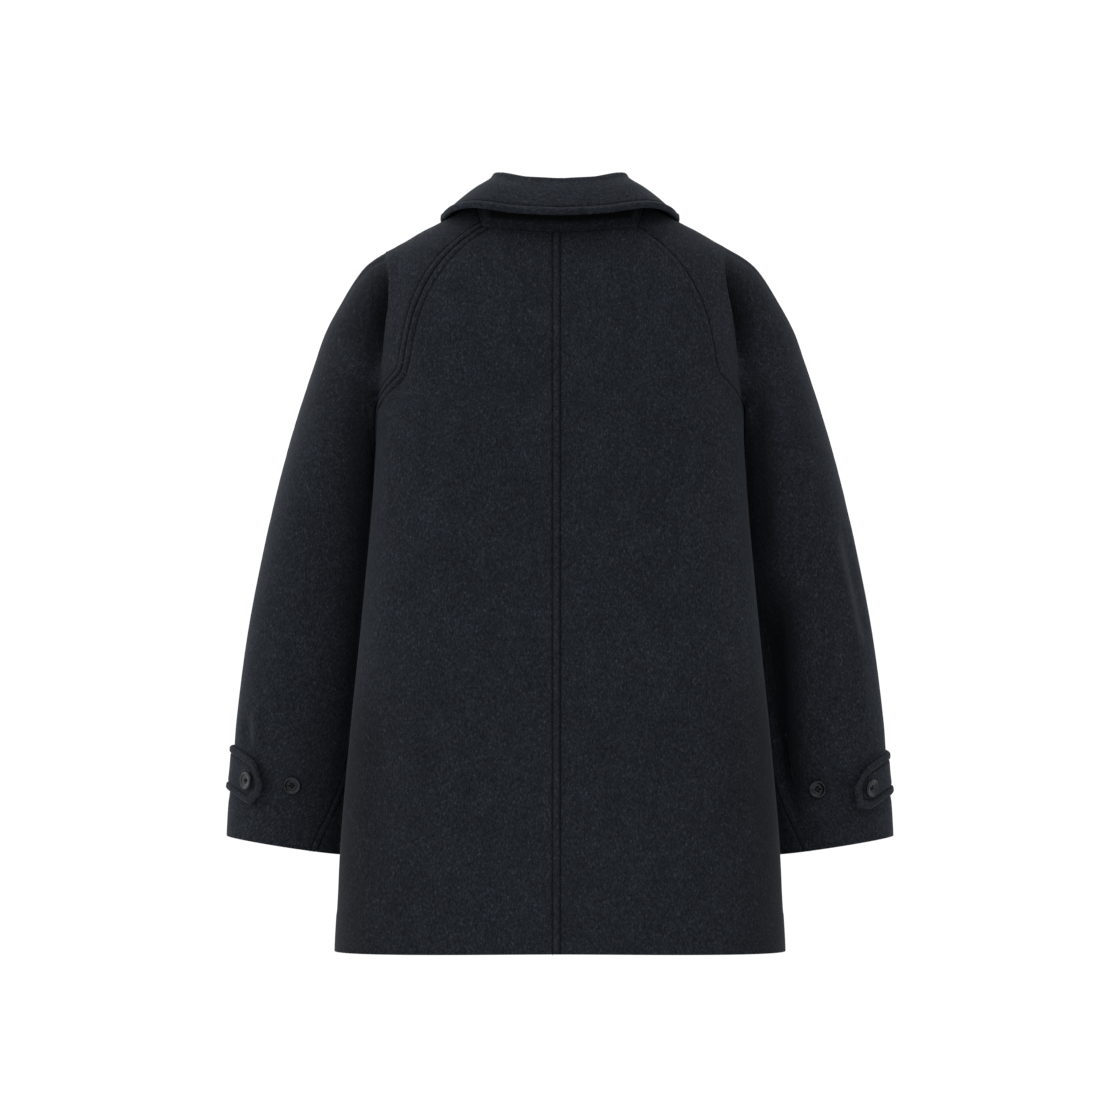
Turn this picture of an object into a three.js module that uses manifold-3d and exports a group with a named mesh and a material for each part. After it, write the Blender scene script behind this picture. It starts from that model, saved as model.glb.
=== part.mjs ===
// A balmacaan coat in heavy charcoal wool, filled out as it is when worn and empty inside.
//
// Every panel is cut from one smooth form: a torso given by level sections, joined to two sleeves
// given by level sections. Above the armpit the torso and the sleeve are blended into one surface,
// and the valley between them is the fold of a raglan sleeve whose arm hangs down. Below the armpit
// they are separate tubes. A panel is a grid of rows on that surface with a wall of cloth inside it.
//
// Frame: millimetres, +Z up, the coat's front towards -Y, the wearer's left at +X. The origin is in
// the middle of the neck opening, level with the neck seam at the centre back.

import * as THREE from 'three';
import { mergeVertices } from 'three/addons/utils/BufferGeometryUtils.js';
import Module from 'manifold-3d';

const wasm = await Module();
wasm.setup();

// ---------------------------------------------------------------- driving sizes

const CLOTH = 2.5; // thickness of the coating
const SEAM_GAP = 0.55; // between two panels, measured along their rows
const COLLAR_GAP = 0.8; // between the collar and the neck edge below it
const HEM_Z = -800; // the centre back is 800 long from neck seam to hem
const NECK_EDGE_Z = -66; // the neck edge at the end of each front's overlap
const HEM_RISE = 4; // the hem rides up this much at the centre back
const ARMPIT_X = 204.8;
const ARMPIT_Y = -22;
const ARMPIT_Z = -245;
const CUFF_Z = -686; // the cuff in the middle of the sleeve
const RIDGE_Y = -8; // the shoulder line
const OVERLAP = 28; // each front runs this far past the centre front
const FRONT_LIFT = CLOTH + 1.2; // the left front lies this far outside the right front
const LIFT_X = 62; // where the left front begins to lift
const LIFT_SOFT = 30; // how much further on it is clear of the right front
const COLLAR_CLOTH = 4; // two layers and their interlining
const COLLAR_ROLL = 4.6; // radius at the collar's fold
const COLLAR_CLEAR = 2.5; // from the collar's fall down to the coat
const COLLAR_AHEAD = 18; // the collar's fall lifts this much before the front below it does
const COLLAR_FRONT_Y = -40; // forward of this the collar lies on the fronts
const COLLAR_OPENING = 3; // each collar end stops this far from the centre front

const BODY_COLUMNS = 13;
const SLEEVE_COLUMNS = 11;
const YOKE_ROWS = 11; // rows from the neck to the armpit
const LOWER_ROWS = 14; // rows from the armpit to the hem or the cuff

// Level sections of the torso: half its width, its depth behind and in front of the shoulder line,
// and how square it is, where 2 is an ellipse.
const TORSO = [
  { z: 50, half: 50, back: 12, front: 8, squareBack: 2, squareFront: 2 },
  { z: 33, half: 91, back: 38, front: 26, squareBack: 2, squareFront: 2 },
  { z: 9, half: 136, back: 64, front: 44, squareBack: 2, squareFront: 2 },
  { z: 0, half: 154, back: 70, front: 49, squareBack: 2.05, squareFront: 2.05 },
  { z: -9, half: 169, back: 75, front: 53, squareBack: 2.1, squareFront: 2.1 },
  { z: -18, half: 183, back: 79, front: 57, squareBack: 2.3, squareFront: 2.2 },
  { z: -27, half: 190, back: 83, front: 61, squareBack: 2.5, squareFront: 2.4 },
  { z: -42, half: 193, back: 90, front: 67, squareBack: 2.8, squareFront: 2.6 },
  { z: -64, half: 194.5, back: 97, front: 75, squareBack: 3, squareFront: 2.7 },
  { z: -109, half: 198, back: 108, front: 89, squareBack: 3.1, squareFront: 2.7 },
  { z: -154, half: 201, back: 113, front: 100, squareBack: 3.2, squareFront: 2.5 },
  { z: -198, half: 203.5, back: 115, front: 108, squareBack: 3.2, squareFront: 2.35 },
  { z: -243, half: 205, back: 116, front: 112, squareBack: 3.1, squareFront: 2.3 },
  { z: -309, half: 209.5, back: 115, front: 114, squareBack: 3, squareFront: 2.3 },
  { z: -354, half: 213.5, back: 115, front: 115, squareBack: 3, squareFront: 2.3 },
  { z: -465, half: 224, back: 117, front: 116, squareBack: 3, squareFront: 2.3 },
  { z: -576, half: 235, back: 120, front: 117, squareBack: 3, squareFront: 2.35 },
  { z: -690, half: 244.5, back: 124, front: 118, squareBack: 3, squareFront: 2.4 },
  { z: -800, half: 248.5, back: 128, front: 120, squareBack: 3, squareFront: 2.5 },
];

// Level sections of a sleeve: its outer and inner edges, the middle of its depth, half its depth,
// and how steeply its rows drop towards the body.
const SLEEVE = [
  { z: 33, outer: 60, inner: 50, y: -8, deep: 3, slope: 0 },
  { z: 0, outer: 112, inner: 100, y: -8, deep: 3, slope: 0 },
  { z: -10, outer: 145, inner: 120, y: -8, deep: 5, slope: 0 },
  { z: -20, outer: 178, inner: 132, y: -8, deep: 12, slope: 0 },
  { z: -27, outer: 198, inner: 136, y: -8, deep: 22, slope: 0 },
  { z: -35, outer: 212, inner: 140, y: -8, deep: 31, slope: 0 },
  { z: -44, outer: 221, inner: 144, y: -8, deep: 38, slope: 0 },
  { z: -58, outer: 231, inner: 149, y: -9, deep: 44, slope: 0 },
  { z: -76, outer: 242, inner: 156, y: -11, deep: 49, slope: 0 },
  { z: -109, outer: 260, inner: 168, y: -14, deep: 56, slope: 0 },
  { z: -142, outer: 272, inner: 179, y: -18, deep: 62, slope: 0 },
  { z: -190, outer: 288, inner: 193, y: -26, deep: 70, slope: 0 },
  { z: -235, outer: 302, inner: 204.6, y: -34, deep: 75, slope: 0 },
  { z: -262, outer: 309.5, inner: 206.8, y: -39, deep: 76, slope: 0.01 },
  { z: -290, outer: 317, inner: 208, y: -43, deep: 76, slope: 0.02 },
  { z: -343, outer: 330, inner: 211, y: -50, deep: 73, slope: 0.05 },
  { z: -443, outer: 350, inner: 218.5, y: -60, deep: 67, slope: 0.1 },
  { z: -543, outer: 363.5, inner: 227.5, y: -67, deep: 61, slope: 0.14 },
  { z: -600, outer: 368, inner: 233, y: -71, deep: 58, slope: 0.15 },
  { z: -640, outer: 373, inner: 236, y: -73, deep: 56, slope: 0.15 },
  { z: -720, outer: 377, inner: 242, y: -80, deep: 54, slope: 0.16 },
];

// How softly the sleeve runs into the torso.
const BLEND = [
  { z: 0, radius: 30 },
  { z: -60, radius: 18 },
  { z: -120, radius: 12 },
  { z: -200, radius: 7 },
  { z: -235, radius: 3.5 },
  { z: -245, radius: 3 },
];

// Broad soft troughs that run down the back of the body.
const TROUGHS = [
  { x: -104, top: -180, bottom: -680, wide: 26, deep: 3.5 },
  { x: 188, top: -480, bottom: -760, wide: 24, deep: 3 },
];

// The seams of the left side, from the neck down. Each point is moved onto the form, and where
// fold is 1 it is also moved into the valley between torso and sleeve.
const RAGLAN_BACK = [
  { x: 81, y: 45, z: 5.6, fold: 0 },
  { x: 100, y: 50, z: -7, fold: 0 },
  { x: 122, y: 58, z: -29, fold: 0 },
  { x: 145, y: 68, z: -59, fold: 0 },
  { x: 163, y: 76, z: -92, fold: 0 },
  { x: 174, y: 81, z: -126, fold: 0 },
  { x: 180, y: 80, z: -156, fold: 0 },
  { x: 189, y: 66, z: -169, fold: 0 },
  { x: 198, y: 43, z: -183, fold: 0 },
  { x: 202, y: 25, z: -197, fold: 1 },
  { x: 205, y: 5, z: -222, fold: 1 },
  { x: ARMPIT_X, y: ARMPIT_Y, z: ARMPIT_Z, fold: 1 },
];
const RAGLAN_FRONT = [
  { x: 72, y: -65, z: -25, fold: 0 },
  { x: 96, y: -74, z: -48, fold: 0 },
  { x: 122, y: -83, z: -78, fold: 0 },
  { x: 146, y: -90, z: -110, fold: 0 },
  { x: 164, y: -92, z: -140, fold: 0 },
  { x: 178, y: -86, z: -164, fold: 0 },
  { x: 188, y: -71, z: -182, fold: 0 },
  { x: 195, y: -54, z: -198, fold: 1 },
  { x: 201, y: -41, z: -222, fold: 1 },
  { x: ARMPIT_X, y: ARMPIT_Y, z: ARMPIT_Z, fold: 1 },
];
const OVERARM = [
  { x: 91, y: -7, z: 28 },
  { x: 133, y: -8, z: 9 },
  { x: 168, y: -8, z: -9 },
  { x: 200, y: -8, z: -27 },
  { x: 221, y: -9, z: -46 },
  { x: 240, y: -13, z: -76 },
  { x: 269, y: -20, z: -142 },
  { x: 298, y: -32, z: -235 },
  { x: 322, y: -56, z: -343 },
  { x: 334, y: -80, z: -443 },
  { x: 340, y: -102, z: -543 },
  { x: 341, y: -122, z: -684 },
  { x: 341, y: -125, z: -710 },
];
const UNDERARM = [
  { x: ARMPIT_X, y: ARMPIT_Y, z: ARMPIT_Z },
  { x: 209, y: -36, z: -290 },
  { x: 213, y: -46, z: -343 },
  { x: 221, y: -53, z: -443 },
  { x: 232, y: -54, z: -543 },
  { x: 238, y: -51, z: -600 },
  { x: 250, y: -41, z: -640 },
  { x: 269, y: -31, z: -684 },
  { x: 276, y: -30, z: -715 },
];

// A point inside the form for each yoke row, from the neck (0) to the armpit (1).
const YOKE_MIDDLE = [
  { part: 0, x: 74, y: -8, z: -12 },
  { part: 0.5, x: 160, y: -8, z: -88 },
  { part: 0.75, x: 186, y: -12, z: -140 },
  { part: 1, x: 252, y: -33, z: ARMPIT_Z },
];

const FOLD_PART = 0.75; // beyond this part of the yoke the seam runs in the fold

// The collar, from the centre back (0) to the centre front (1) along the neck seam: where its fold
// is, and where the edge of its fall is.
const COLLAR = [
  { part: 0, foldX: 0, foldY: 57, foldZ: 53.5, edgeX: 0, edgeY: 104, edgeZ: 14.5, bow: 2 },
  { part: 0.13, foldX: 34, foldY: 51, foldZ: 55.5, edgeX: 50, edgeY: 94, edgeZ: 15.5, bow: 2 },
  { part: 0.26, foldX: 61, foldY: 32, foldZ: 60, edgeX: 95, edgeY: 73, edgeZ: 21.5, bow: 1 },
  { part: 0.37, foldX: 71, foldY: 12, foldZ: 61.5, edgeX: 120, edgeY: 42, edgeZ: 21, bow: -1 },
  { part: 0.46, foldX: 72, foldY: -8, foldZ: 59, edgeX: 131, edgeY: -6, edgeZ: 14, bow: -1 },
  { part: 0.56, foldX: 68, foldY: -34, foldZ: 47, edgeX: 130, edgeY: -42, edgeZ: 1, bow: -1 },
  { part: 0.75, foldX: 52, foldY: -69, foldZ: 2, edgeX: 110, edgeY: -92, edgeZ: -50, bow: 1 },
  { part: 0.9, foldX: 24, foldY: -84, foldZ: -33, edgeX: 78, edgeY: -108, edgeZ: -98, bow: 1 },
  { part: 1, foldX: 4, foldY: -90, foldZ: -52, edgeX: 46, edgeY: -112, edgeZ: -124, bow: 1 },
];
const COLLAR_SPANS = [5, 4, 4, 4]; // sections over the back, each half of the sleeve and the front
const COLLAR_STATIONS = [0, 0.07, 0.16, 0.27, 0.375, 0.44, 0.5, 0.56, 0.625, 0.72, 0.81, 0.9, 1];

// The tab on each cuff: it leaves the overarm seam and comes round the outside to the back.
const TAB = {
  z: -603,
  slope: 0.13,
  halfWidth: 25,
  point: 22,
  startTurn: -52,
  endTurn: 66,
  thick: 3.4,
  lift: 1.6,
};
const TAB_LEVEL_X = 40; // the tab is at its own height this far out from the sleeve's middle
const TAB_STATIONS = [0, 0.14, 0.28, 0.42, 0.55, 0.67, 0.77, 0.845, 0.92, 1];
const TAB_BUTTON_TURN = 47;
const SLEEVE_BUTTON_TURN = 93;
const CUFF_BUTTON_DROP = -6; // the buttons sit this much below the tab's middle

const CUFF_BUTTON_RADIUS = 10;
const FRONT_BUTTON_RADIUS = 11.5;
const FRONT_BUTTONS = [-102, -238, -374, -510];
const BUTTON_GAP = 0.4;
const BUTTON_SIDES = 16;
const BUTTON_HOLE = { radius: 1.2, spacing: 2.6, sides: 6 };

const WOOL = { color: 0x24272c, roughness: 0.95, metalness: 0 };
const HORN = { color: 0x34363a, roughness: 0.45, metalness: 0 };

// ---------------------------------------------------------------- the form

const point = (x, y, z) => new THREE.Vector3(x, y, z);
const clamp = (value, low, high) => Math.min(high, Math.max(low, value));
const smooth = (t) => {
  const c = clamp(t, 0, 1);
  return c * c * (3 - 2 * c);
};

// A column of a table as a smooth function of its key column.
function read(table, column, key, by = 'z') {
  const rising = table[1][by] > table[0][by];
  let i = table.findIndex((row) => (rising ? row[by] > key : row[by] < key));
  i = i < 0 ? table.length - 1 : Math.max(i, 1);
  const step = (a, b) => (table[b][column] - table[a][column]) / (table[b][by] - table[a][by]);
  const span = table[i][by] - table[i - 1][by];
  const t = clamp((key - table[i - 1][by]) / span, 0, 1);
  const slopeIn = step(Math.max(i - 2, 0), i) * span;
  const slopeOut = step(i - 1, Math.min(i + 1, table.length - 1)) * span;
  const from = table[i - 1][column];
  const to = table[i][column];
  const t2 = t * t;
  const t3 = t2 * t;
  return (
    from * (2 * t3 - 3 * t2 + 1) +
    slopeIn * (t3 - 2 * t2 + t) +
    to * (3 * t2 - 2 * t3) +
    slopeOut * (t3 - t2)
  );
}

// Distance from a squared ellipse in its own plane, near enough for stepping onto it.
function squaredEllipse(x, y, half, deep, square) {
  const u = Math.abs(x) / half;
  const v = Math.abs(y) / deep;
  const rho = (u ** square + v ** square) ** (1 / square);
  const slope = Math.hypot((u / rho) ** (square - 1) / half, (v / rho) ** (square - 1) / deep);
  return (rho - 1) / slope;
}

function torso(p) {
  const back = p.y > RIDGE_Y;
  const half = read(TORSO, 'half', p.z);
  const deep = read(TORSO, back ? 'back' : 'front', p.z);
  const square = read(TORSO, back ? 'squareBack' : 'squareFront', p.z);
  let distance = squaredEllipse(p.x, p.y - RIDGE_Y, half, deep, square);
  for (const trough of back ? TROUGHS : []) {
    const down = smooth((trough.top - p.z) / 120) * smooth((p.z - trough.bottom) / 120);
    const across = Math.exp(-(((p.x - trough.x) / trough.wide) ** 2));
    distance += trough.deep * down * across * smooth((p.y - RIDGE_Y) / 40);
  }
  return distance;
}

function sleeve(p) {
  const outer = read(SLEEVE, 'outer', p.z);
  const inner = read(SLEEVE, 'inner', p.z);
  const x = Math.abs(p.x) - (outer + inner) / 2;
  const y = p.y - read(SLEEVE, 'y', p.z);
  return squaredEllipse(x, y, (outer - inner) / 2, read(SLEEVE, 'deep', p.z), 2);
}

function form(p) {
  const body = torso(p);
  const arm = sleeve(p);
  const soft = read(BLEND, 'radius', p.z);
  const near = Math.max(soft - Math.abs(body - arm), 0) / soft;
  return Math.min(body, arm) - (near * near * soft) / 4;
}

// The form on one side of the valley, carried on past it, so that a row which ends in the valley
// doesn't climb out on the other side.
function formBeside(mine, other, p) {
  const own = mine(p);
  const soft = read(BLEND, 'radius', p.z);
  const near = clamp((soft - other(p) + own) / soft, 0, 1);
  return own - (near * near * soft) / 4;
}

const bodySide = (p) => formBeside(torso, sleeve, p);
const sleeveSide = (p) => formBeside(sleeve, torso, p);

function gradient(surface, p) {
  const h = 0.25;
  const along = (axis) => {
    const a = p.clone();
    const b = p.clone();
    a[axis] -= h;
    b[axis] += h;
    return (surface(b) - surface(a)) / (2 * h);
  };
  return point(along('x'), along('y'), along('z'));
}

const outward = (surface, p) => gradient(surface, p).normalize();

// Moves a point straight onto a surface.
function settle(surface, p, level = false) {
  const q = p.clone();
  for (let i = 0; i < 12; i += 1) {
    const g = gradient(surface, q);
    if (level) g.z = 0;
    q.addScaledVector(g, -surface(q) / Math.max(g.lengthSq(), 0.04));
  }
  return q;
}

// Moves a point into the valley where the torso and the sleeve meet, at its own height.
function settleInValley(p) {
  const q = p.clone();
  for (let i = 0; i < 12; i += 1) {
    const a = gradient(torso, q);
    const b = gradient(sleeve, q);
    const level = read(BLEND, 'radius', q.z) / 4;
    const u = level - torso(q);
    const v = level - sleeve(q);
    const det = a.x * b.y - a.y * b.x;
    if (Math.abs(det) < 0.02) break;
    q.x += clamp((u * b.y - v * a.y) / det, -4, 4);
    q.y += clamp((a.x * v - b.x * u) / det, -4, 4);
  }
  return q;
}

// ---------------------------------------------------------------- curves and rows

// A line of points that can be read by its length.
class Line {
  constructor(points) {
    this.points = points;
    this.lengths = [0];
    for (let i = 1; i < points.length; i += 1) {
      this.lengths.push(this.lengths[i - 1] + points[i].distanceTo(points[i - 1]));
    }
    this.length = this.lengths[points.length - 1];
  }

  at(distance) {
    const d = clamp(distance, 0, this.length);
    let i = this.lengths.findIndex((length) => length > d);
    i = i < 0 ? this.points.length - 1 : Math.max(i, 1);
    const t = (d - this.lengths[i - 1]) / (this.lengths[i] - this.lengths[i - 1]);
    return this.points[i - 1].clone().lerp(this.points[i], clamp(t, 0, 1));
  }

  // Its direction at a distance along it.
  way(distance) {
    const d = clamp(distance, 1, this.length - 1);
    return this.at(d + 1).sub(this.at(d - 1)).normalize();
  }

  // The place where a falling measure of the points reaches a value.
  where(measure, value) {
    let low = 0;
    let high = this.length;
    for (let i = 0; i < 40; i += 1) {
      const middle = (low + high) / 2;
      if (measure(this.at(middle), middle) > value) low = middle;
      else high = middle;
    }
    return low;
  }
}

function seam(table, side, surface, level, first, last) {
  const rough = new THREE.CatmullRomCurve3(
    table.map((row) => point(row.x, row.y, row.z)),
    false,
    'centripetal',
  );
  const points = [];
  const steps = table.length * 10;
  for (let i = 0; i <= steps; i += 1) {
    const t = i / steps;
    const p = rough.getPoint(t);
    const place = t * (table.length - 1);
    const before = table[Math.floor(place)].fold ?? 0;
    const after = table[Math.min(Math.floor(place) + 1, table.length - 1)].fold ?? 0;
    const fold = before + (after - before) * smooth(place % 1);
    let q = settle(surface, p, level);
    if (fold > 0 && p.z > ARMPIT_Z + 8) q.lerp(settleInValley(p), fold);
    q = fold > 0.99 ? q : settle(surface, q, level);
    q.x *= side;
    points.push(q);
  }
  if (first) points[0] = first;
  if (last) points[steps] = last;
  return new Line(points);
}

// A row of points on a surface from one seam to another. Rays turn from the first to the second
// about a point inside, by way of the back (way 1) or the front (way -1). A row leaves its first
// seam level with that seam's other side, so that the two halves of the body meet smoothly.
function row(surface, inside, from, to, way) {
  const rays = 56;
  const along = to.clone().sub(inside).normalize();
  const across = point(0, way, 0).addScaledVector(along, -way * along.y).normalize();
  const aside = along.clone().cross(across);
  const start = from.clone().sub(inside);
  let turn = Math.atan2(start.dot(across), start.dot(along));
  if (turn < -Math.PI / 2) turn += 2 * Math.PI;
  let reach = Math.hypot(start.dot(across), start.dot(along));
  const drift = start.dot(aside);
  const points = [from.clone()];
  for (let i = 1; i < rays; i += 1) {
    const left = 1 - i / rays;
    const ray = along.clone().multiplyScalar(Math.cos(turn * left));
    ray.addScaledVector(across, Math.sin(turn * left));
    const base = inside.clone().addScaledVector(aside, drift * (1 - (1 - left) ** 2));
    for (let k = 0; k < 8; k += 1) {
      const p = base.clone().addScaledVector(ray, reach);
      const here = surface(p);
      const slope = (surface(p.clone().addScaledVector(ray, 0.5)) - here) / 0.5;
      reach -= clamp(here / Math.max(slope, 0.2), -12, 12);
    }
    points.push(base.addScaledVector(ray, reach));
  }
  points.push(to.clone());
  return new Line(points);
}

// The row as evenly spaced points. Each end stops half a seam gap short of its seam, measured
// square to the seam, whose direction is given where the row doesn't meet it squarely.
function spread(line, columns, fromSeam, toSeam) {
  const trim = (end, next, seamWay) => {
    const heading = next.clone().sub(end).normalize();
    const square = seamWay ? heading.cross(seamWay).length() : 1;
    return SEAM_GAP / 2 / Math.max(square, 0.25);
  };
  const start = trim(line.at(0), line.at(2), fromSeam);
  const finish = line.length - trim(line.at(line.length), line.at(line.length - 2), toSeam);
  const points = [];
  for (let i = 0; i <= columns; i += 1) points.push(line.at(start + ((finish - start) * i) / columns));
  return points;
}

// ---------------------------------------------------------------- solids

// A closed wall between two grids of points. The first grid is the outer face.
function wall(outer, inner) {
  const rows = outer.length;
  const columns = outer[0].length;
  const positions = [...outer.flat(), ...inner.flat()].flatMap((p) => [p.x, p.y, p.z]);
  const a = (r, c) => r * columns + c;
  const b = (r, c) => rows * columns + r * columns + c;
  const faces = [];
  const quad = (p, q, s, t) => faces.push(p, q, s, p, s, t);
  for (let r = 0; r + 1 < rows; r += 1) {
    for (let c = 0; c + 1 < columns; c += 1) {
      const falling = outer[r][c].distanceTo(outer[r + 1][c + 1]);
      const rising = outer[r + 1][c].distanceTo(outer[r][c + 1]);
      if (falling < rising) {
        quad(a(r, c), a(r + 1, c), a(r + 1, c + 1), a(r, c + 1));
        quad(b(r, c), b(r, c + 1), b(r + 1, c + 1), b(r + 1, c));
      } else {
        quad(a(r + 1, c), a(r + 1, c + 1), a(r, c + 1), a(r, c));
        quad(b(r, c + 1), b(r + 1, c + 1), b(r + 1, c), b(r, c));
      }
    }
    quad(a(r, 0), b(r, 0), b(r + 1, 0), a(r + 1, 0));
    quad(a(r, columns - 1), a(r + 1, columns - 1), b(r + 1, columns - 1), b(r, columns - 1));
  }
  for (let c = 0; c + 1 < columns; c += 1) {
    quad(a(0, c), a(0, c + 1), b(0, c + 1), b(0, c));
    quad(a(rows - 1, c), b(rows - 1, c), b(rows - 1, c + 1), a(rows - 1, c + 1));
  }
  return closed(positions, faces);
}

// A geometry from points and triangles, turned so that its faces point out.
function closed(positions, faces) {
  let volume = 0;
  const corner = (i) => point(...positions.slice(3 * i, 3 * i + 3));
  for (let i = 0; i < faces.length; i += 3) {
    const [p, q, s] = [corner(faces[i]), corner(faces[i + 1]), corner(faces[i + 2])];
    volume += p.dot(q.cross(s));
  }
  const turned = [];
  for (let i = 0; i < faces.length; i += 3) {
    turned.push(faces[i], faces[i + (volume > 0 ? 1 : 2)], faces[i + (volume > 0 ? 2 : 1)]);
  }
  const geometry = new THREE.BufferGeometry();
  geometry.setAttribute('position', new THREE.Float32BufferAttribute(positions, 3));
  geometry.setIndex(turned);
  geometry.computeVertexNormals();
  return geometry;
}

function toSolid(geometry) {
  const plain = geometry.clone();
  plain.deleteAttribute('normal');
  plain.deleteAttribute('uv');
  const merged = mergeVertices(plain, 1e-4);
  const vertProperties = new Float32Array(merged.attributes.position.array);
  const triVerts = new Uint32Array(merged.index.array);
  return new wasm.Manifold(new wasm.Mesh({ numProp: 3, vertProperties, triVerts }));
}

function toGeometry(solid) {
  const mesh = solid.getMesh();
  return closed(Array.from(mesh.vertProperties), Array.from(mesh.triVerts));
}

const coat = new THREE.Group();

function add(name, geometry, look) {
  const mesh = new THREE.Mesh(geometry, new THREE.MeshStandardMaterial(look));
  mesh.name = name;
  coat.add(mesh);
  return mesh;
}

// How far the left front stands off the form where it laps over the right front.
const overlapLift = (p, ahead = 0) => FRONT_LIFT * smooth((LIFT_X + ahead - p.x) / LIFT_SOFT);

// A panel from rows of points that already lie on its surface. Each row has its own surface, so
// that the rows above the armpit follow the blended form and those below it a single tube.
function panel(name, rows, lift = () => 0) {
  const outer = [];
  const inner = [];
  for (const { surface, points } of rows) {
    const normals = points.map((p) => outward(surface, p));
    outer.push(points.map((p, i) => p.clone().addScaledVector(normals[i], lift(p))));
    inner.push(points.map((p, i) => p.clone().addScaledVector(normals[i], lift(p) - CLOTH)));
  }
  return add(name, wall(outer, inner), WOOL);
}

// ---------------------------------------------------------------- body and sleeves

const necks = {}; // half of the neck seam on each side, from centre back to centre front
let corners = []; // where a seam meets it, as parts of its length

for (const [name, side] of [['left', 1], ['right', -1]]) {
  const armpit = settle(form, point(side * ARMPIT_X, ARMPIT_Y, ARMPIT_Z));
  const raglanBack = seam(RAGLAN_BACK, side, form, false, null, armpit);
  const raglanFront = seam(RAGLAN_FRONT, side, form, false, null, armpit);
  const overarm = seam(OVERARM, side, form, false);
  const underarm = seam(UNDERARM, side, sleeve, true, armpit);
  const shoulderLength = overarm.where((p) => p.z, ARMPIT_Z);

  // A point of the torso's own middle line, at the centre back or past the centre front.
  const middle = (x, z, way) => {
    const p = settle(torso, point(x, way * 80, z), true);
    p.x = x;
    return settle(torso, p, true);
  };

  // Where each yoke row meets a raglan seam: even steps of half its length and half its height.
  const yokePlace = (raglan, j) => {
    const top = raglan.at(0).z;
    const still = (p, d) => 2 - d / raglan.length - (top - p.z) / (top - armpit.z);
    return j === YOKE_ROWS ? raglan.length : raglan.where(still, 2 - (2 * j) / YOKE_ROWS);
  };

  const bodyRow = (surface, near, far, way) =>
    row(surface, point(0, RIDGE_Y, far.z), near, far, way);

  const bodyRows = (way, raglan, x, neckZ) => {
    const rows = [];
    for (let j = 0; j <= YOKE_ROWS; j += 1) {
      const place = yokePlace(raglan, j);
      const far = raglan.at(place);
      const near = middle(x, neckZ + ((ARMPIT_Z - neckZ) * j) / YOKE_ROWS, way);
      const line = bodyRow(bodySide, near, far, way);
      rows.push({ surface: torso, points: spread(line, BODY_COLUMNS, null, raglan.way(place)) });
    }
    for (let j = 1; j <= LOWER_ROWS; j += 1) {
      const z = ARMPIT_Z + ((HEM_Z - ARMPIT_Z) * j) / LOWER_ROWS;
      const far = settle(torso, point(side * 230, ARMPIT_Y, z), true);
      const near = middle(x, z + (way > 0 ? (HEM_RISE * j) / LOWER_ROWS : 0), way);
      rows.push({ surface: torso, points: spread(bodyRow(torso, near, far, way), BODY_COLUMNS) });
    }
    return rows;
  };

  const sleeveRows = (way, raglan) => {
    const rows = [];
    for (let j = 0; j <= YOKE_ROWS; j += 1) {
      const part = j / YOKE_ROWS;
      const place = yokePlace(raglan, j);
      const near = raglan.at(place);
      const far = overarm.at(shoulderLength * part);
      const inside = point(
        side * read(YOKE_MIDDLE, 'x', part, 'part'),
        read(YOKE_MIDDLE, 'y', part, 'part'),
        read(YOKE_MIDDLE, 'z', part, 'part'),
      );
      const open = part < FOLD_PART;
      const line = row(open ? form : sleeveSide, inside, near, far, way);
      rows.push({ surface: open ? form : sleeve, points: spread(line, SLEEVE_COLUMNS, raglan.way(place)) });
    }
    for (let j = 1; j <= LOWER_ROWS; j += 1) {
      const z = ARMPIT_Z + ((CUFF_Z - ARMPIT_Z) * j) / LOWER_ROWS;
      const slope = read(SLEEVE, 'slope', z);
      const x = (read(SLEEVE, 'outer', z) + read(SLEEVE, 'inner', z)) / 2;
      const height = (p) => p.z - slope * (side * p.x - x);
      const near = underarm.at(underarm.where(height, z));
      const far = overarm.at(overarm.where(height, z));
      const inside = point(side * x, read(SLEEVE, 'y', z), z);
      rows.push({
        surface: sleeve,
        points: spread(row(sleeve, inside, near, far, way), SLEEVE_COLUMNS),
      });
    }
    return rows;
  };

  panel(`back_${name}`, bodyRows(1, raglanBack, 0, 0));

  // The left front lies over the right one.
  const lift = (p) => (side > 0 ? overlapLift(p) : 0);
  const front = bodyRows(-1, raglanFront, -side * OVERLAP, NECK_EDGE_Z);
  panel(`front_${name}`, front, lift);

  panel(`sleeve_back_${name}`, sleeveRows(1, raglanBack));
  panel(`sleeve_front_${name}`, sleeveRows(-1, raglanFront));

  const top = (way, raglan, x, neckZ) =>
    bodyRow(bodySide, middle(x, neckZ, way), raglan.at(0), way).points;
  const start = YOKE_MIDDLE[0];
  const over = (way, raglan) =>
    row(form, point(side * start.x, start.y, start.z), raglan.at(0), overarm.at(0), way).points;
  const spans = [
    top(1, raglanBack, 0, 0),
    over(1, raglanBack),
    over(-1, raglanFront).reverse(),
    top(-1, raglanFront, -side * OVERLAP, NECK_EDGE_Z)
      .filter((p) => side * p.x > COLLAR_OPENING)
      .reverse(),
  ];
  necks[name] = new Line([spans[0][0], ...spans.flatMap((points) => points.slice(1))]);
  let place = 0;
  corners = spans.map((points) => {
    place += points.length - 1;
    return necks[name].lengths[place] / necks[name].length;
  });
  corners.unshift(0);
}

// ---------------------------------------------------------------- collar

// Keeps a point at least this far outside the form, and farther where the left front is lifted.
function keepOff(p, distance) {
  for (let i = 0; i < 4; i += 1) {
    const slope = gradient(form, p);
    const lapped = smooth(2 + p.x / OVERLAP) * smooth((COLLAR_FRONT_Y - p.y) / 20);
    const short = distance + lapped * overlapLift(p, COLLAR_AHEAD) - form(p) / slope.length();
    if (short <= 0) return p;
    p.addScaledVector(slope.normalize(), short);
  }
  return p;
}

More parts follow.
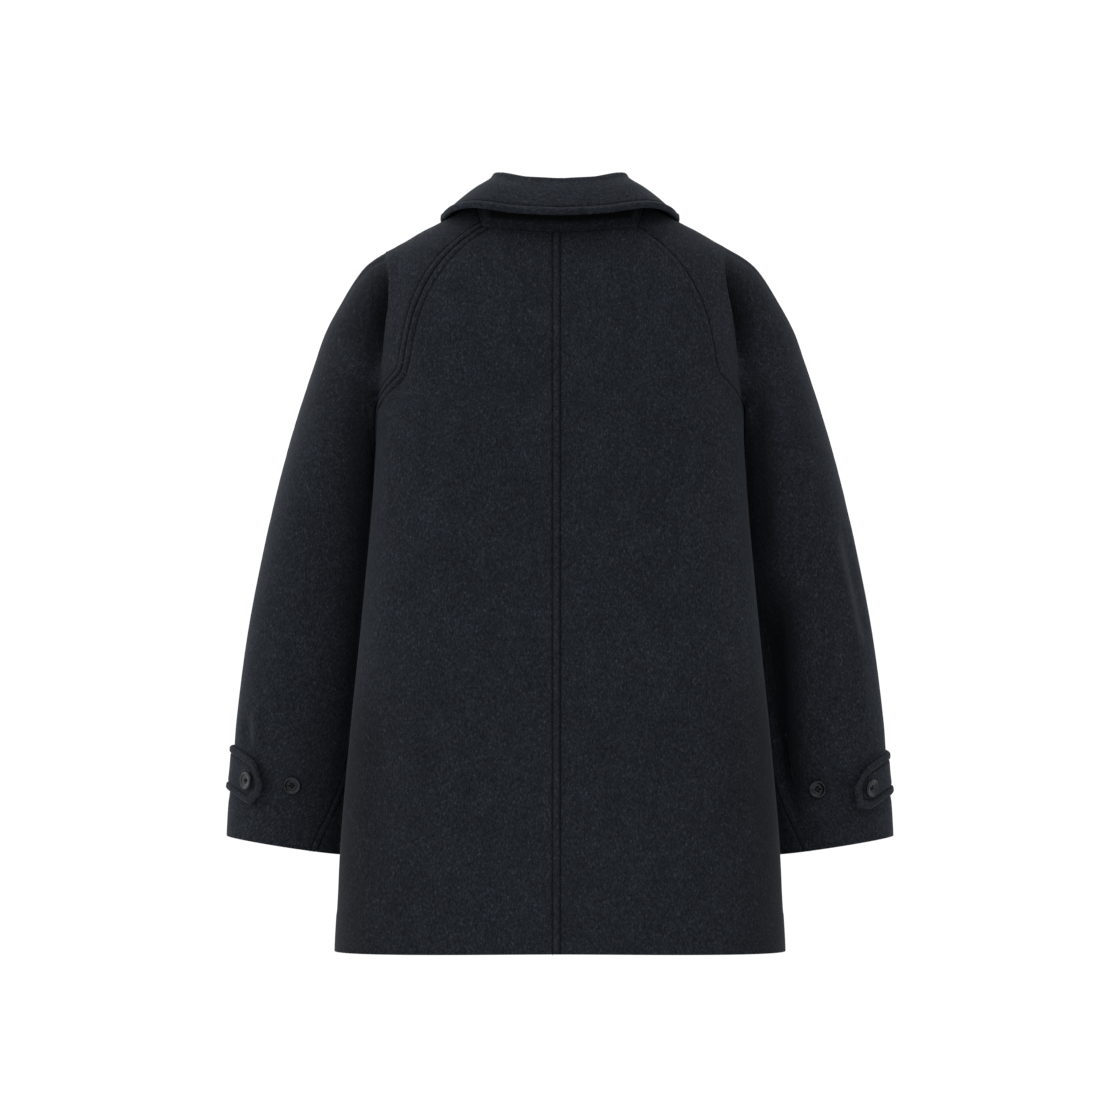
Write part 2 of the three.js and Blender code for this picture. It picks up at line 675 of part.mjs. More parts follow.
function collarSection(part, side) {
  const neck = necks[side > 0 ? 'left' : 'right'];
  const place = clamp(neck.length * part, 1, neck.length - 1);
  const base = neck.at(neck.length * part);
  const normal = outward(form, base);
  const ahead = neck.at(place + 1).sub(neck.at(place - 1));
  const up = ahead.cross(normal).normalize().multiplyScalar(side);
  const out = point(normal.x, normal.y, 0).normalize();
  const value = (column) => read(COLLAR, column, part, 'part');
  const fold = point(side * value('foldX'), value('foldY'), value('foldZ'));
  const edge = point(side * value('edgeX'), value('edgeY'), value('edgeZ'));
  const onFront = side > 0 && base.y < COLLAR_FRONT_Y;
  const start = base.clone().addScaledVector(up, COLLAR_GAP);
  start.addScaledVector(normal, (onFront ? overlapLift(base) : 0) - COLLAR_CLOTH / 2);
  const lead = start.clone().addScaledVector(up, 4);
  const rising = fold.clone().addScaledVector(out, -COLLAR_ROLL);
  rising.z -= COLLAR_ROLL;
  const falling = fold.clone().addScaledVector(out, COLLAR_ROLL);
  falling.z -= COLLAR_ROLL;
  const stand = lead.clone().lerp(rising, 0.5).addScaledVector(out, 1.5);
  const bow = value('bow');
  const fall = [0.35, 0.7, 1].map((t) => {
    const p = falling.clone().lerp(edge, t).addScaledVector(out, bow * Math.sin(Math.PI * t));
    p.z += bow * Math.sin(Math.PI * t);
    return p;
  });
  const curve = new THREE.CatmullRomCurve3([start, lead, stand, rising, fold, falling, ...fall]);
  const keep = (p, t) => (t > 0.6 ? keepOff(p, COLLAR_CLOTH / 2 + COLLAR_CLEAR) : p);
  return COLLAR_STATIONS.map((t) => keep(curve.getPoint(t), t));
}

// Both faces of a sheet of cloth about its middle grid.
function thicken(grid, thick) {
  const rows = grid.length;
  const columns = grid[0].length;
  const face = (reach) =>
    grid.map((line, r) =>
      line.map((p, c) => {
        const down = grid[Math.min(r + 1, rows - 1)][c].clone().sub(grid[Math.max(r - 1, 0)][c]);
        const on = line[Math.min(c + 1, columns - 1)].clone().sub(line[Math.max(c - 1, 0)]);
        return p.clone().addScaledVector(down.cross(on).normalize(), reach);
      }),
    );
  return wall(face(thick / 2), face(-thick / 2));
}

// The sections stand on the corners of the neck edge, with even steps between them.
const collarParts = [0];
COLLAR_SPANS.forEach((count, i) => {
  const from = corners[i];
  for (let j = 1; j <= count; j += 1) collarParts.push(from + ((corners[i + 1] - from) * j) / count);
});
const collarGrid = [
  ...collarParts.slice(1).reverse().map((part) => collarSection(part, -1)),
  ...collarParts.map((part) => collarSection(part, 1)),
];
add('collar', thicken(collarGrid, COLLAR_CLOTH), WOOL);

// ---------------------------------------------------------------- cuff tabs

// A place on the left sleeve at a height and a turn about its middle: 0 is the outside, 90 the back.
function onSleeve(z, turn) {
  const a = THREE.MathUtils.degToRad(turn);
  const outer = read(SLEEVE, 'outer', z);
  const inner = read(SLEEVE, 'inner', z);
  const x = (outer + inner) / 2 + ((outer - inner) / 2) * Math.cos(a);
  return point(x, read(SLEEVE, 'y', z) + read(SLEEVE, 'deep', z) * Math.sin(a), z);
}

// The same, but at a distance across the tab from its sloping middle line.
function onTab(turn, across) {
  const middle = (read(SLEEVE, 'outer', TAB.z) + read(SLEEVE, 'inner', TAB.z)) / 2;
  const p = onSleeve(TAB.z, turn);
  return onSleeve(TAB.z + TAB.slope * (p.x - middle - TAB_LEVEL_X) + across, turn);
}

for (const [name, side] of [['left', 1], ['right', -1]]) {
  const outer = [];
  const inner = [];
  const girth = onTab(TAB.startTurn, 0).distanceTo(onTab(TAB.startTurn + 1, 0));
  const length = girth * (TAB.endTurn - TAB.startTurn);
  for (let i = 0; i <= TAB_STATIONS.length - 1; i += 1) {
    const t = TAB_STATIONS[i];
    const left = (1 - t) * length;
    const half = TAB.halfWidth * Math.min(1, 0.14 + (0.86 * left) / TAB.point);
    const turn = TAB.startTurn + (TAB.endTurn - TAB.startTurn) * t;
    const lift = 0.6 + TAB.lift * Math.sin(Math.PI * clamp(t * 1.1, 0, 1));
    const place = (across, reach) => {
      const p = onTab(turn, across);
      p.addScaledVector(outward(sleeve, p), reach);
      p.x *= side;
      return p;
    };
    const across = [-1, -0.5, 0, 0.5, 1].map((k) => k * half);
    outer.push(across.map((k) => place(k, lift + TAB.thick)));
    inner.push(across.map((k) => place(k, lift)));
  }
  add(`cuff_tab_${name}`, wall(outer, inner), WOOL);
}

// ---------------------------------------------------------------- buttons

// A button with a raised rim and four holes, lying in the XY plane with its back at z = 0.
function buttonSolid(radius) {
  const profile = [
    [0, 0],
    [0.8, 0],
    [1, 0.13],
    [1, 0.24],
    [0.9, 0.36],
    [0.76, 0.32],
    [0.62, 0.22],
    [0, 0.22],
  ].map(([r, h]) => new THREE.Vector2(r * radius, h * radius));
  const lathe = new THREE.LatheGeometry(profile, BUTTON_SIDES);
  lathe.rotateX(Math.PI / 2);
  let solid = toSolid(lathe);
  for (const [x, y] of [[1, 1], [1, -1], [-1, 1], [-1, -1]]) {
    const { radius: bore, spacing, sides } = BUTTON_HOLE;
    const hole = new THREE.CylinderGeometry(bore, bore, radius, sides);
    hole.rotateX(Math.PI / 2);
    hole.translate((x * spacing) / 2, (y * spacing) / 2, 0);
    solid = solid.subtract(toSolid(hole));
  }
  return toGeometry(solid);
}

// Sets a button on a surface point, its face along the normal.
function addButton(name, radius, p, normal) {
  const mesh = add(name, buttonSolid(radius), HORN);
  mesh.position.copy(p).addScaledVector(normal, BUTTON_GAP);
  const right = point(0, 0, 1).cross(normal).normalize();
  const up = normal.clone().cross(right);
  mesh.quaternion.setFromRotationMatrix(new THREE.Matrix4().makeBasis(right, up, normal));
}

for (const [name, side] of [['left', 1], ['right', -1]]) {
  for (const [kind, turn, lift] of [
    ['tab', TAB_BUTTON_TURN, TAB.lift + 0.6 + TAB.thick],
    ['sleeve', SLEEVE_BUTTON_TURN, 0],
  ]) {
    const p = onTab(turn, CUFF_BUTTON_DROP);
    const normal = outward(sleeve, p);
    p.addScaledVector(normal, lift);
    p.x *= side;
    normal.x *= side;
    addButton(`button_${kind}_${name}`, CUFF_BUTTON_RADIUS, p, normal);
  }
}

FRONT_BUTTONS.forEach((z, i) => {
  const p = settle(torso, point(0, -110, z), true);
  const normal = outward(torso, p);
  addButton(`button_front_${i + 1}`, FRONT_BUTTON_RADIUS, p.addScaledVector(normal, FRONT_LIFT), normal);
});

export default coat;
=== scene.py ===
import math

import bpy
import numpy as np
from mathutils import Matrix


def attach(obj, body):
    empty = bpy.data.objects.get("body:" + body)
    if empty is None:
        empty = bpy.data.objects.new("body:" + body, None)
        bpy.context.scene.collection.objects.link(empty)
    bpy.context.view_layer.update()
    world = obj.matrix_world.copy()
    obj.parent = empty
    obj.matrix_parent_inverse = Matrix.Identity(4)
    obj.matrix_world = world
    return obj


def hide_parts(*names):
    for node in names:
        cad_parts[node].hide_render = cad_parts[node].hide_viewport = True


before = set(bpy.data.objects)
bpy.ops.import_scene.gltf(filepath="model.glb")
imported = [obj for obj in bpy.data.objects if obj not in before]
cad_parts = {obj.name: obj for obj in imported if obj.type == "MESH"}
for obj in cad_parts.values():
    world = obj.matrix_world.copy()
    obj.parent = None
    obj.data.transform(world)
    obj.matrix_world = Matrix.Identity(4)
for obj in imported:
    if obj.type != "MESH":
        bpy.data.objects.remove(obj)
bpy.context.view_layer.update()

# ---------------------------------------------------------------- the back
# The back is cut in two halves from a heavy brushed wool coating and sewn down the centre, the
# seam turned towards the wearer's left and topstitched there. It hangs from the neck and the
# raglan seams, filled out as when worn, with broad soft troughs and no pressed creases.

# Sizes are in millimetres, in the coat's own frame, and meshes are made in metres.
MM = 0.001
CLOTH = 2.5  # thickness of the coating
RIDGE_Y = -8  # the shoulder line
ARMPIT = np.array([204.8, -22, -245])
HEM_Z = -800
HEM_RISE = 4  # the hem rides up this much at the centre back
STITCH_IN = 8  # the topstitching runs this far from its seam
SIDES = (("left", 1), ("right", -1))  # the wearer's own left and right
ROW_STEP, COLUMN_STEP = 4.0, 4.0  # how far apart the rows and columns of points stand
SETTLING = 12  # in how many steps a point settles on a surface


def table(names, *rows):
    """Rows of numbers as named columns."""
    return dict(zip(names.split(), np.array(rows, float).T))


# Level sections of the torso: half its width, its depth behind and in front of the shoulder
# line, and how square it is behind and in front, where 2 is an ellipse.
TORSO = table(
    "z half back front square_back square_front",
    (50, 50, 12, 8, 2, 2),
    (33, 91, 38, 26, 2, 2),
    (9, 136, 64, 44, 2, 2),
    (0, 154, 70, 49, 2.05, 2.05),
    (-9, 169, 75, 53, 2.1, 2.1),
    (-18, 183, 79, 57, 2.3, 2.2),
    (-27, 190, 83, 61, 2.5, 2.4),
    (-42, 193, 90, 67, 2.8, 2.6),
    (-64, 194.5, 97, 75, 3, 2.7),
    (-109, 198, 108, 89, 3.1, 2.7),
    (-154, 201, 113, 100, 3.2, 2.5),
    (-198, 203.5, 115, 108, 3.2, 2.35),
    (-243, 205, 116, 112, 3.1, 2.3),
    (-309, 209.5, 115, 114, 3, 2.3),
    (-354, 213.5, 115, 115, 3, 2.3),
    (-465, 224, 117, 116, 3, 2.3),
    (-576, 235, 120, 117, 3, 2.35),
    (-690, 244.5, 124, 118, 3, 2.4),
    (-800, 248.5, 128, 120, 3, 2.5),
)

# Level sections of a sleeve: its outer and inner edges, the middle of its depth, half its depth,
# and how steeply its rows drop towards the body.
SLEEVE = table(
    "z outer inner y deep slope",
    (33, 60, 50, -8, 3, 0),
    (0, 112, 100, -8, 3, 0),
    (-10, 145, 120, -8, 5, 0),
    (-20, 178, 132, -8, 12, 0),
    (-27, 198, 136, -8, 22, 0),
    (-35, 212, 140, -8, 31, 0),
    (-44, 221, 144, -8, 38, 0),
    (-58, 231, 149, -9, 44, 0),
    (-76, 242, 156, -11, 49, 0),
    (-109, 260, 168, -14, 56, 0),
    (-142, 272, 179, -18, 62, 0),
    (-190, 288, 193, -26, 70, 0),
    (-235, 302, 204.6, -34, 75, 0),
    (-262, 309.5, 206.8, -39, 76, 0.01),
    (-290, 317, 208, -43, 76, 0.02),
    (-343, 330, 211, -50, 73, 0.05),
    (-443, 350, 218.5, -60, 67, 0.1),
    (-543, 363.5, 227.5, -67, 61, 0.14),
    (-600, 368, 233, -71, 58, 0.15),
    (-640, 373, 236, -73, 56, 0.15),
    (-720, 377, 242, -80, 54, 0.16),
)

# How softly the sleeve runs into the torso.
BLEND = table("z radius", (0, 30), (-60, 18), (-120, 12), (-200, 7), (-235, 3.5), (-245, 3))

# The broad troughs of the back, which the whole cloth follows: x, top, bottom, wide, deep.
TROUGHS = ((-104, -180, -680, 26, 3.5), (188, -480, -760, 24, 3))


def smooth(t):
    c = np.clip(t, 0, 1)
    return c * c * (3 - 2 * c)


def bell(distance, wide):
    """1 on a line, falling away softly on both sides of it."""
    return np.exp(-((distance / wide) ** 2))


def read(of, column, key, by="z"):
    """A column of a table as a smooth function of its key column."""
    keys, values = of[by], of[column]
    if keys[0] > keys[-1]:
        keys, values = keys[::-1], values[::-1]
    last = len(keys) - 1
    i = np.clip(np.searchsorted(keys, key, side="right"), 1, last)
    before, after = np.maximum(i - 2, 0), np.minimum(i + 1, last)
    span = keys[i] - keys[i - 1]
    t = np.clip((key - keys[i - 1]) / span, 0, 1)
    slope_in = (values[i] - values[before]) / (keys[i] - keys[before]) * span
    slope_out = (values[after] - values[i - 1]) / (keys[after] - keys[i - 1]) * span
    t2, t3 = t * t, t * t * t
    start = values[i - 1] * (2 * t3 - 3 * t2 + 1) + slope_in * (t3 - 2 * t2 + t)
    return start + values[i] * (3 * t2 - 2 * t3) + slope_out * (t3 - t2)


def unit(v):
    return v / np.maximum(np.linalg.norm(v, axis=-1, keepdims=True), 1e-9)


def squared_ellipse(x, y, half, deep, square):
    """Distance from a squared ellipse in its own plane, near enough for stepping onto it."""
    u, v = np.abs(x) / half, np.abs(y) / deep
    rho = np.maximum(u**square + v**square, 1e-12) ** (1 / square)
    slope = np.hypot((u / rho) ** (square - 1) / half, (v / rho) ** (square - 1) / deep)
    return (rho - 1) / slope


def torso(p):
    x, y, z = p[..., 0], p[..., 1] - RIDGE_Y, p[..., 2]
    behind = y > 0
    deep = np.where(behind, read(TORSO, "back", z), read(TORSO, "front", z))
    square = np.where(behind, read(TORSO, "square_back", z), read(TORSO, "square_front", z))
    distance = squared_ellipse(x, y, read(TORSO, "half", z), deep, square)
    for middle, top, bottom, wide, deep in TROUGHS:
        down = smooth((top - z) / 120) * smooth((z - bottom) / 120)
        distance = distance + deep * down * bell(x - middle, wide) * smooth(y / 40)
    return distance


def sleeve(p):
    outer, inner = read(SLEEVE, "outer", p[..., 2]), read(SLEEVE, "inner", p[..., 2])
    x = np.abs(p[..., 0]) - (outer + inner) / 2
    y = p[..., 1] - read(SLEEVE, "y", p[..., 2])
    return squared_ellipse(x, y, (outer - inner) / 2, read(SLEEVE, "deep", p[..., 2]), 2)


def form(p):
    body, arm = torso(p), sleeve(p)
    soft = read(BLEND, "radius", p[..., 2])
    near = np.maximum(soft - np.abs(body - arm), 0) / soft
    return np.minimum(body, arm) - near * near * soft / 4


def beside(mine, other):
    """The form on one side of the valley between torso and sleeve, carried on past it."""

    def surface(p):
        own = mine(p)
        soft = read(BLEND, "radius", p[..., 2])
        near = np.clip((soft - other(p) + own) / soft, 0, 1)
        return own - near * near * soft / 4

    return surface


body_side = beside(torso, sleeve)
sleeve_side = beside(sleeve, torso)


def gradient(surface, p, h=0.25):
    steps = h * np.eye(3)
    return np.stack([(surface(p + s) - surface(p - s)) / (2 * h) for s in steps], axis=-1)


def settle(surface, p, level=False):
    """Moves points straight onto a surface."""
    q = np.array(p, float)
    for _ in range(SETTLING):
        g = gradient(surface, q)
        if level:
            g[..., 2] = 0
        q -= g * (surface(q) / np.maximum((g * g).sum(-1), 0.04))[..., None]
    return q


def settle_in_valley(p):
    """Moves points into the valley where the torso and the sleeve meet, at their own height."""
    q = np.array(p, float)
    for _ in range(SETTLING):
        a, b = gradient(torso, q), gradient(sleeve, q)
        level = read(BLEND, "radius", q[..., 2]) / 4
        u, v = level - torso(q), level - sleeve(q)
        det = a[..., 0] * b[..., 1] - a[..., 1] * b[..., 0]
        safe = np.where(np.abs(det) < 0.02, 1e9, det)
        q[..., 0] += np.clip((u * b[..., 1] - v * a[..., 1]) / safe, -4, 4)
        q[..., 1] += np.clip((a[..., 0] * v - b[..., 0] * u) / safe, -4, 4)
    return q


def curve(points, t):
    """A smooth curve through points[k], read at places t from 0 to 1, one row for each place."""
    points = np.asarray(points, float)
    padded = np.concatenate([2 * points[:1] - points[1:2], points, 2 * points[-1:] - points[-2:-1]])
    place = np.clip(t, 0, 1) * (len(points) - 1)
    i = np.minimum(place.astype(int), len(points) - 2)
    w = (place - i).reshape((-1,) + (1,) * (points.ndim - 1))
    a, b, c, d = (padded[i + k] for k in range(4))
    spans = (np.linalg.norm(q - p, axis=-1, keepdims=True) for p, q in ((a, b), (b, c), (c, d)))
    k0, k1, k2 = (np.maximum(np.sqrt(span), 1e-4) for span in spans)
    m1 = ((b - a) / k0 - (c - a) / (k0 + k1) + (c - b) / k1) * k1
    m2 = ((c - b) / k1 - (d - b) / (k1 + k2) + (d - c) / k2) * k1
    return b + w * (m1 + w * (3 * (c - b) - 2 * m1 - m2 + w * (2 * (b - c) + m1 + m2)))


class Line:
    """A line of points that can be read by its length."""

    def __init__(self, points):
        self.points = np.asarray(points, float)
        steps = np.linalg.norm(np.diff(self.points, axis=0), axis=1)
        self.lengths = np.concatenate([[0], np.cumsum(steps)])
        self.length = self.lengths[-1]

    def at(self, distance):
        return np.stack([np.interp(distance, self.lengths, c) for c in self.points.T], axis=-1)

    def way(self, distance):
        d = np.clip(distance, 1, self.length - 1)
        return unit(self.at(d + 1) - self.at(d - 1))

    def where(self, falling, values):
        """The places where a measure that falls along the line has these values."""
        return np.interp(values, falling[::-1], self.lengths[::-1])


def seam(rows, side, surface, level=False, first=None, last=None):
    """A seam through rows of (x, y, z, fold), moved onto the form or into its valley."""
    rows = np.array(rows, float)
    t = np.linspace(0, 1, len(rows) * 16 + 1)
    p = curve(rows[:, :3], t)
    place = t * (len(rows) - 1)
    i = np.minimum(place.astype(int), len(rows) - 2)
    fold = rows[i, 3] + (rows[i + 1, 3] - rows[i, 3]) * smooth(place - i)
    fold = np.where(p[:, 2] > ARMPIT[2] + 8, fold, 0)[:, None]
    q = settle(surface, p, level)
    q = np.where(fold > 0, q + (settle_in_valley(p) - q) * fold, q)
    q = np.where(fold > 0.99, q, settle(surface, q, level))
    q[:, 0] *= side
    if first is not None:
        q[0] = first
    if last is not None:
        q[-1] = last
    return Line(q)


RAYS, RAY_STEPS = 72, 7  # how many rays seek each row before it is spaced, and in how many steps


def rays(surface, inside, start, end, way):
    """Rows of points on a surface, one for each start and end. Rays turn from the start to the
    end about a point inside, by way of the back (1) or the front (-1)."""
    towards = unit(end - inside)
    across = unit(np.array([0.0, way, 0.0]) - way * towards[:, 1:2] * towards)
    aside = np.cross(towards, across)
    first = start - inside
    f_across, f_towards = (first * across).sum(1), (first * towards).sum(1)
    turn = np.arctan2(f_across, f_towards)
    turn = np.where(turn < -math.pi / 2, turn + 2 * math.pi, turn)
    reach = np.hypot(f_across, f_towards)
    drift = (first * aside).sum(1)
    found = [start]
    for i in range(1, RAYS):
        left = 1 - i / RAYS
        angle = (turn * left)[:, None]
        ray = towards * np.cos(angle) + across * np.sin(angle)
        base = inside + aside * (drift * (1 - (1 - left) ** 2))[:, None]
        for _ in range(RAY_STEPS):
            p = base + ray * reach[:, None]
            here = surface(p)
            slope = (surface(p + ray * 0.5) - here) / 0.5
            reach = reach - np.clip(here / np.maximum(slope, 0.2), -12, 12)
        found.append(base + ray * reach[:, None])
    found.append(end)
    return np.stack(found, axis=1)


# Where the columns stand near a seam, in mm from it: close together where the edge rolls in and
# where the topstitching sinks. Then where they stand on both sides of a fold.
NEAR_SEAM = np.array([0, 0.35, 0.8, 1.4, 2.4, 4, 5.8, 6.8, 7.4, 8, 8.6, 9.2, 10.4, 12.6, 16])
FOLD_STEPS = np.array([-13, -9, -6.2, -4.2, -2.8, -1.7, -0.8, 0, 0.8, 1.7, 2.9, 4.6, 7, 10, 14])


def spread(rows, middle, start_way=None, end_way=None, folds=None):
    """Reads each row at the same number of columns, dense near both ends and about a fold. Where
    a row doesn't meet its seam squarely, the seam's direction spaces them square to the seam."""
    out = []
    for i, points in enumerate(rows):
        line = Line(points)
        heads = unit(line.at(2.0) - points[0]), unit(points[-1] - line.at(line.length - 2))
        room = []
        for head, ways in zip(heads, (start_way, end_way)):
            square = 1.0 if ways is None else np.linalg.norm(np.cross(head, ways[i]))
            room.append(min(1 / max(square, 0.3), 0.3 * line.length / NEAR_SEAM[-1]))
        first = NEAR_SEAM * room[0]
        final = line.length - NEAR_SEAM[::-1] * room[1]
        if folds is None:
            between = np.linspace(first[-1], final[0], middle + 2)[1:-1]
        else:
            width = min(1, (final[0] - first[-1]) / 45)
            at = np.clip(folds[i], first[-1] + 17 * width, final[0] - 18 * width)
            dense = at + FOLD_STEPS * width
            near = middle // 4
            before = np.linspace(first[-1], dense[0], near + 2)[1:-1]
            after = np.linspace(dense[-1], final[0], middle - near + 2)[1:-1]
            between = np.concatenate([before, dense, after])
        out.append(line.at(np.concatenate([first, between, final])))
    return np.array(out)


def grid_normals(grid, outside=None):
    """Normals of a grid of points, turned to the side that outside points to."""
    n = unit(np.cross(np.gradient(grid, axis=0), np.gradient(grid, axis=1)))
    if outside is None:
        return n
    flip = np.sign((n * outside).sum(-1, keepdims=True))
    return n * np.where(flip == 0, 1, flip)


def apart(grid, line):
    """How far each point of a grid is from its own row's or column's point on one of its lines."""
    return np.linalg.norm(grid - line, axis=-1)


def away(points, line, step=0.8):
    """Distance of points from a line, and how far along it the nearest place is."""
    line = Line(line)
    s = np.arange(0, line.length + step, step)
    dense = line.at(s)
    flat = points.reshape(-1, 3)
    near, place = np.empty(len(flat)), np.empty(len(flat))
    for i in range(0, len(flat), 4000):  # in batches, to save memory
        part = flat[i : i + 4000]
        square = (part**2).sum(1)[:, None] + (dense**2).sum(1) - 2 * part @ dense.T
        k = square.argmin(1)
        near[i : i + 4000] = np.sqrt(np.maximum(square[np.arange(len(part)), k], 0))
        place[i : i + 4000] = s[k]
    return near.reshape(points.shape[:-1]), place.reshape(points.shape[:-1])


def wander(s, seed):
    """An uneven wave of height about 1 along a length in mm."""
    rng = np.random.default_rng(seed)
    total = 0
    for size, strength in ((90, 0.5), (37, 0.35), (17, 0.3), (9, 0.2)):
        total = total + strength * np.sin(2 * math.pi * s / size + rng.uniform(0, 2 * math.pi))
    return total


SEAM_DEEP, SEAM_WIDE = 1.4, 1.1  # a seam's groove
ROW_DEEP, ROW_DIP, WELT_HIGH = 1.1, 0.3, 0.8  # the row of topstitching, and the welt it holds
PLAIN_DIP = 0.35  # how far the cloth sinks beside a seam with no topstitching
# how dark painted shade makes a seam's groove and its row of topstitching
SEAM_PAINTED_SHADE, ROW_PAINTED_SHADE = 0.52, 0.42


def seam_relief(points, line, seed, stitched=1.0, depth=SEAM_DEEP):
    """How the cloth rises and sinks beside a seam: it rolls into the seam, stands up over the turnings
    beneath, and is drawn in by the topstitching, all a little unevenly. Also how much painted shade
    darkens the cloth there, in the groove and along the stitches, from 0 to 1."""
    d, s = away(points, line)
    groove = bell(d, SEAM_WIDE) * min(depth, 1)
    row = bell(d - STITCH_IN, SEAM_WIDE) * stitched
    welt = smooth(d / 2.5) * smooth((STITCH_IN - d) / 2) * stitched
    relief = -depth * groove - (ROW_DEEP + 0.2 * wander(s, seed + 1)) * row
    relief += (WELT_HIGH + 0.16 * wander(s, seed)) * welt - ROW_DIP * stitched * bell(d - STITCH_IN, 3.2)
    relief -= PLAIN_DIP * (1 - stitched) * bell(d, 3.5)
    return relief, np.maximum(SEAM_PAINTED_SHADE * groove, ROW_PAINTED_SHADE * row)


def seam_reliefs(grid, *seams):
    """The relief of all the seams that bound a panel, and where painted shade darkens it along them. A
    seam is its line, a seed, how strongly it is topstitched, and how deep its groove is where that
    differs."""
    relief, painted_shade = 0, 0
    for line, seed, stitched, *depth in seams:
        added, painted_shading = seam_relief(grid, line, seed, stitched, *depth)
        relief, painted_shade = relief + added, np.maximum(painted_shade, painted_shading)
    return relief, painted_shade


def creased(p, normals, creases, facing=1):
    """How far soft creases push the cloth out, from rows of (x, z, x, z, wide, deep) seen
    from behind (facing 1) or from the front (-1)."""
    total = np.zeros(p.shape[:-1])
    side = smooth(normals[..., 1] * facing * 3)
    for x0, z0, x1, z1, wide, deep in creases:
        ax, az = p[..., 0] - x0, p[..., 2] - z0
        bx, bz = x1 - x0, z1 - z0
        length = math.hypot(bx, bz)
        t = (ax * bx + az * bz) / length
        off = (ax * bz - az * bx) / length
        fade = 2 * wide + 0.2 * length
        ends = smooth((t + wide) / fade) * smooth((length + wide - t) / fade)
        total += deep * ends * bell(off, wide) * side
    return total


def free_edge(d, thick=CLOTH):
    """How far each face of the cloth draws in towards the middle near a turned edge."""
    r = thick / 2
    return r * (1 - np.sqrt(np.maximum(1 - (1 - np.clip(d / r, 0, 1)) ** 2, 0)))


def placed(name, data):
    """Puts a mesh, a lamp or a camera in the scene."""
    obj = bpy.data.objects.new(name, data)
    bpy.context.scene.collection.objects.link(obj)
    return obj


def shown(name, mesh, material):
    """Puts a mesh in the scene, shaded smoothly in one material."""
    mesh.polygons.foreach_set("use_smooth", np.ones(len(mesh.polygons), bool))
    mesh.materials.clear()
    mesh.materials.append(material)
    mesh.update()
    return placed(name, mesh)


def shell(name, outer, inner, painted_shade):
    """A closed cloth shell between two grids, with the weave's own map, and how much painted shade
    darkens it at each point."""
    rows, columns = outer.shape[:2]
    a = np.arange(rows * columns).reshape(rows, columns)
    b = a + rows * columns
    quads = []
    for g, turned in ((a, False), (b, True)):
        q = np.stack([g[:-1, :-1], g[1:, :-1], g[1:, 1:], g[:-1, 1:]], -1).reshape(-1, 4)
        quads.append(q[:, ::-1] if turned else q)
    for p, q in ((a[:, 0], b[:, 0]), (b[:, -1], a[:, -1])):
        quads.append(np.stack([p[:-1], q[:-1], q[1:], p[1:]], -1))
    for p, q in ((b[0], a[0]), (a[-1], b[-1])):
        quads.append(np.stack([p[:-1], q[:-1], q[1:], p[1:]], -1))
    faces = np.concatenate(quads)
    verts = np.concatenate([outer.reshape(-1, 3), inner.reshape(-1, 3)])
    tri = verts[faces]
    volume = (np.cross(tri[:, 1] - tri[:, 0], tri[:, 2] - tri[:, 0]) * tri[:, 0]).sum()
    volume += (np.cross(tri[:, 2] - tri[:, 0], tri[:, 3] - tri[:, 0]) * tri[:, 0]).sum()
    if volume < 0:
        faces = faces[:, ::-1]
    across = np.zeros((rows, columns))
    across[:, 1:] = np.cumsum(np.linalg.norm(np.diff(outer, axis=1), axis=2), axis=1)
    down = np.zeros((rows, columns))
    down[1:] = np.cumsum(np.linalg.norm(np.diff(outer, axis=0), axis=2), axis=0)
    down[:] = down.mean(axis=1, keepdims=True)
    cut = sum(name.encode())  # a number of its own: each piece is cut from elsewhere on the cloth
    uv = np.stack([across + 37 * (cut % 13), 53 * (cut % 11) - down], -1).reshape(-1, 2)
    mesh = bpy.data.meshes.new(name)
    mesh.from_pydata((verts * MM).tolist(), [], faces.tolist())
    loops = np.empty(len(mesh.loops), np.int32)
    mesh.loops.foreach_get("vertex_index", loops)
    layer = mesh.uv_layers.new(name="cloth")
    layer.data.foreach_set("uv", (np.concatenate([uv, uv])[loops] * MM).ravel())
    layer = mesh.attributes.new("painted_shade", "FLOAT", "POINT")
    layer.data.foreach_set("value", np.tile(painted_shade.ravel(), 2))
    return shown(name, mesh, wool)


def faces_of(grid, normals, moved, relief, edge):
    """The outer and inner faces of the cloth on a grid: only the outer one has the relief."""
    outer = grid + normals * (moved + relief - edge)[..., None]
    return outer, grid + normals * (moved - CLOTH + edge)[..., None]


def colour(hex_value):
    """An sRGB hex value as linear red, green and blue."""
    parts = np.array([int(hex_value[i : i + 2], 16) for i in (0, 2, 4)]) / 255
    linear = np.where(parts <= 0.04045, parts / 12.92, ((parts + 0.055) / 1.055) ** 2.4)
    return (*linear, 1.0)


def node(tree, kind, settings=None, **links):
    """Adds a node, sets its own settings, and sets or links its inputs by name."""
    made = tree.nodes.new(kind)
    for key, value in (settings or {}).items():
        setattr(made, key, value)
    for key, value in links.items():
        name = key.replace("_", " ")
        numbered = key[0] == "n" and key[1:].isdigit()
        socket = made.inputs[int(key[1:]) if numbered else name]
        if isinstance(value, bpy.types.NodeSocket):
            tree.links.new(value, socket)
        else:
            socket.default_value = value
    return made


def ramp(tree, value, *stops):
    made = node(tree, "ShaderNodeValToRGB", Fac=value)
    for place, _ in stops[2:]:
        made.color_ramp.elements.new(place)
    for element, (place, hex_value) in zip(made.color_ramp.elements, stops):
        element.position = place
        element.color = colour(hex_value)
    return made.outputs["Color"]


def noise(tree, vector, size_mm, **links):
    return node(tree, "ShaderNodeTexNoise", Vector=vector, Scale=1000 / size_mm, **links).outputs["Fac"]


def mixed(tree, share, a, b):
    return node(tree, "ShaderNodeMix", {"data_type": "FLOAT"}, n0=share, n2=a, n3=b).outputs[0]


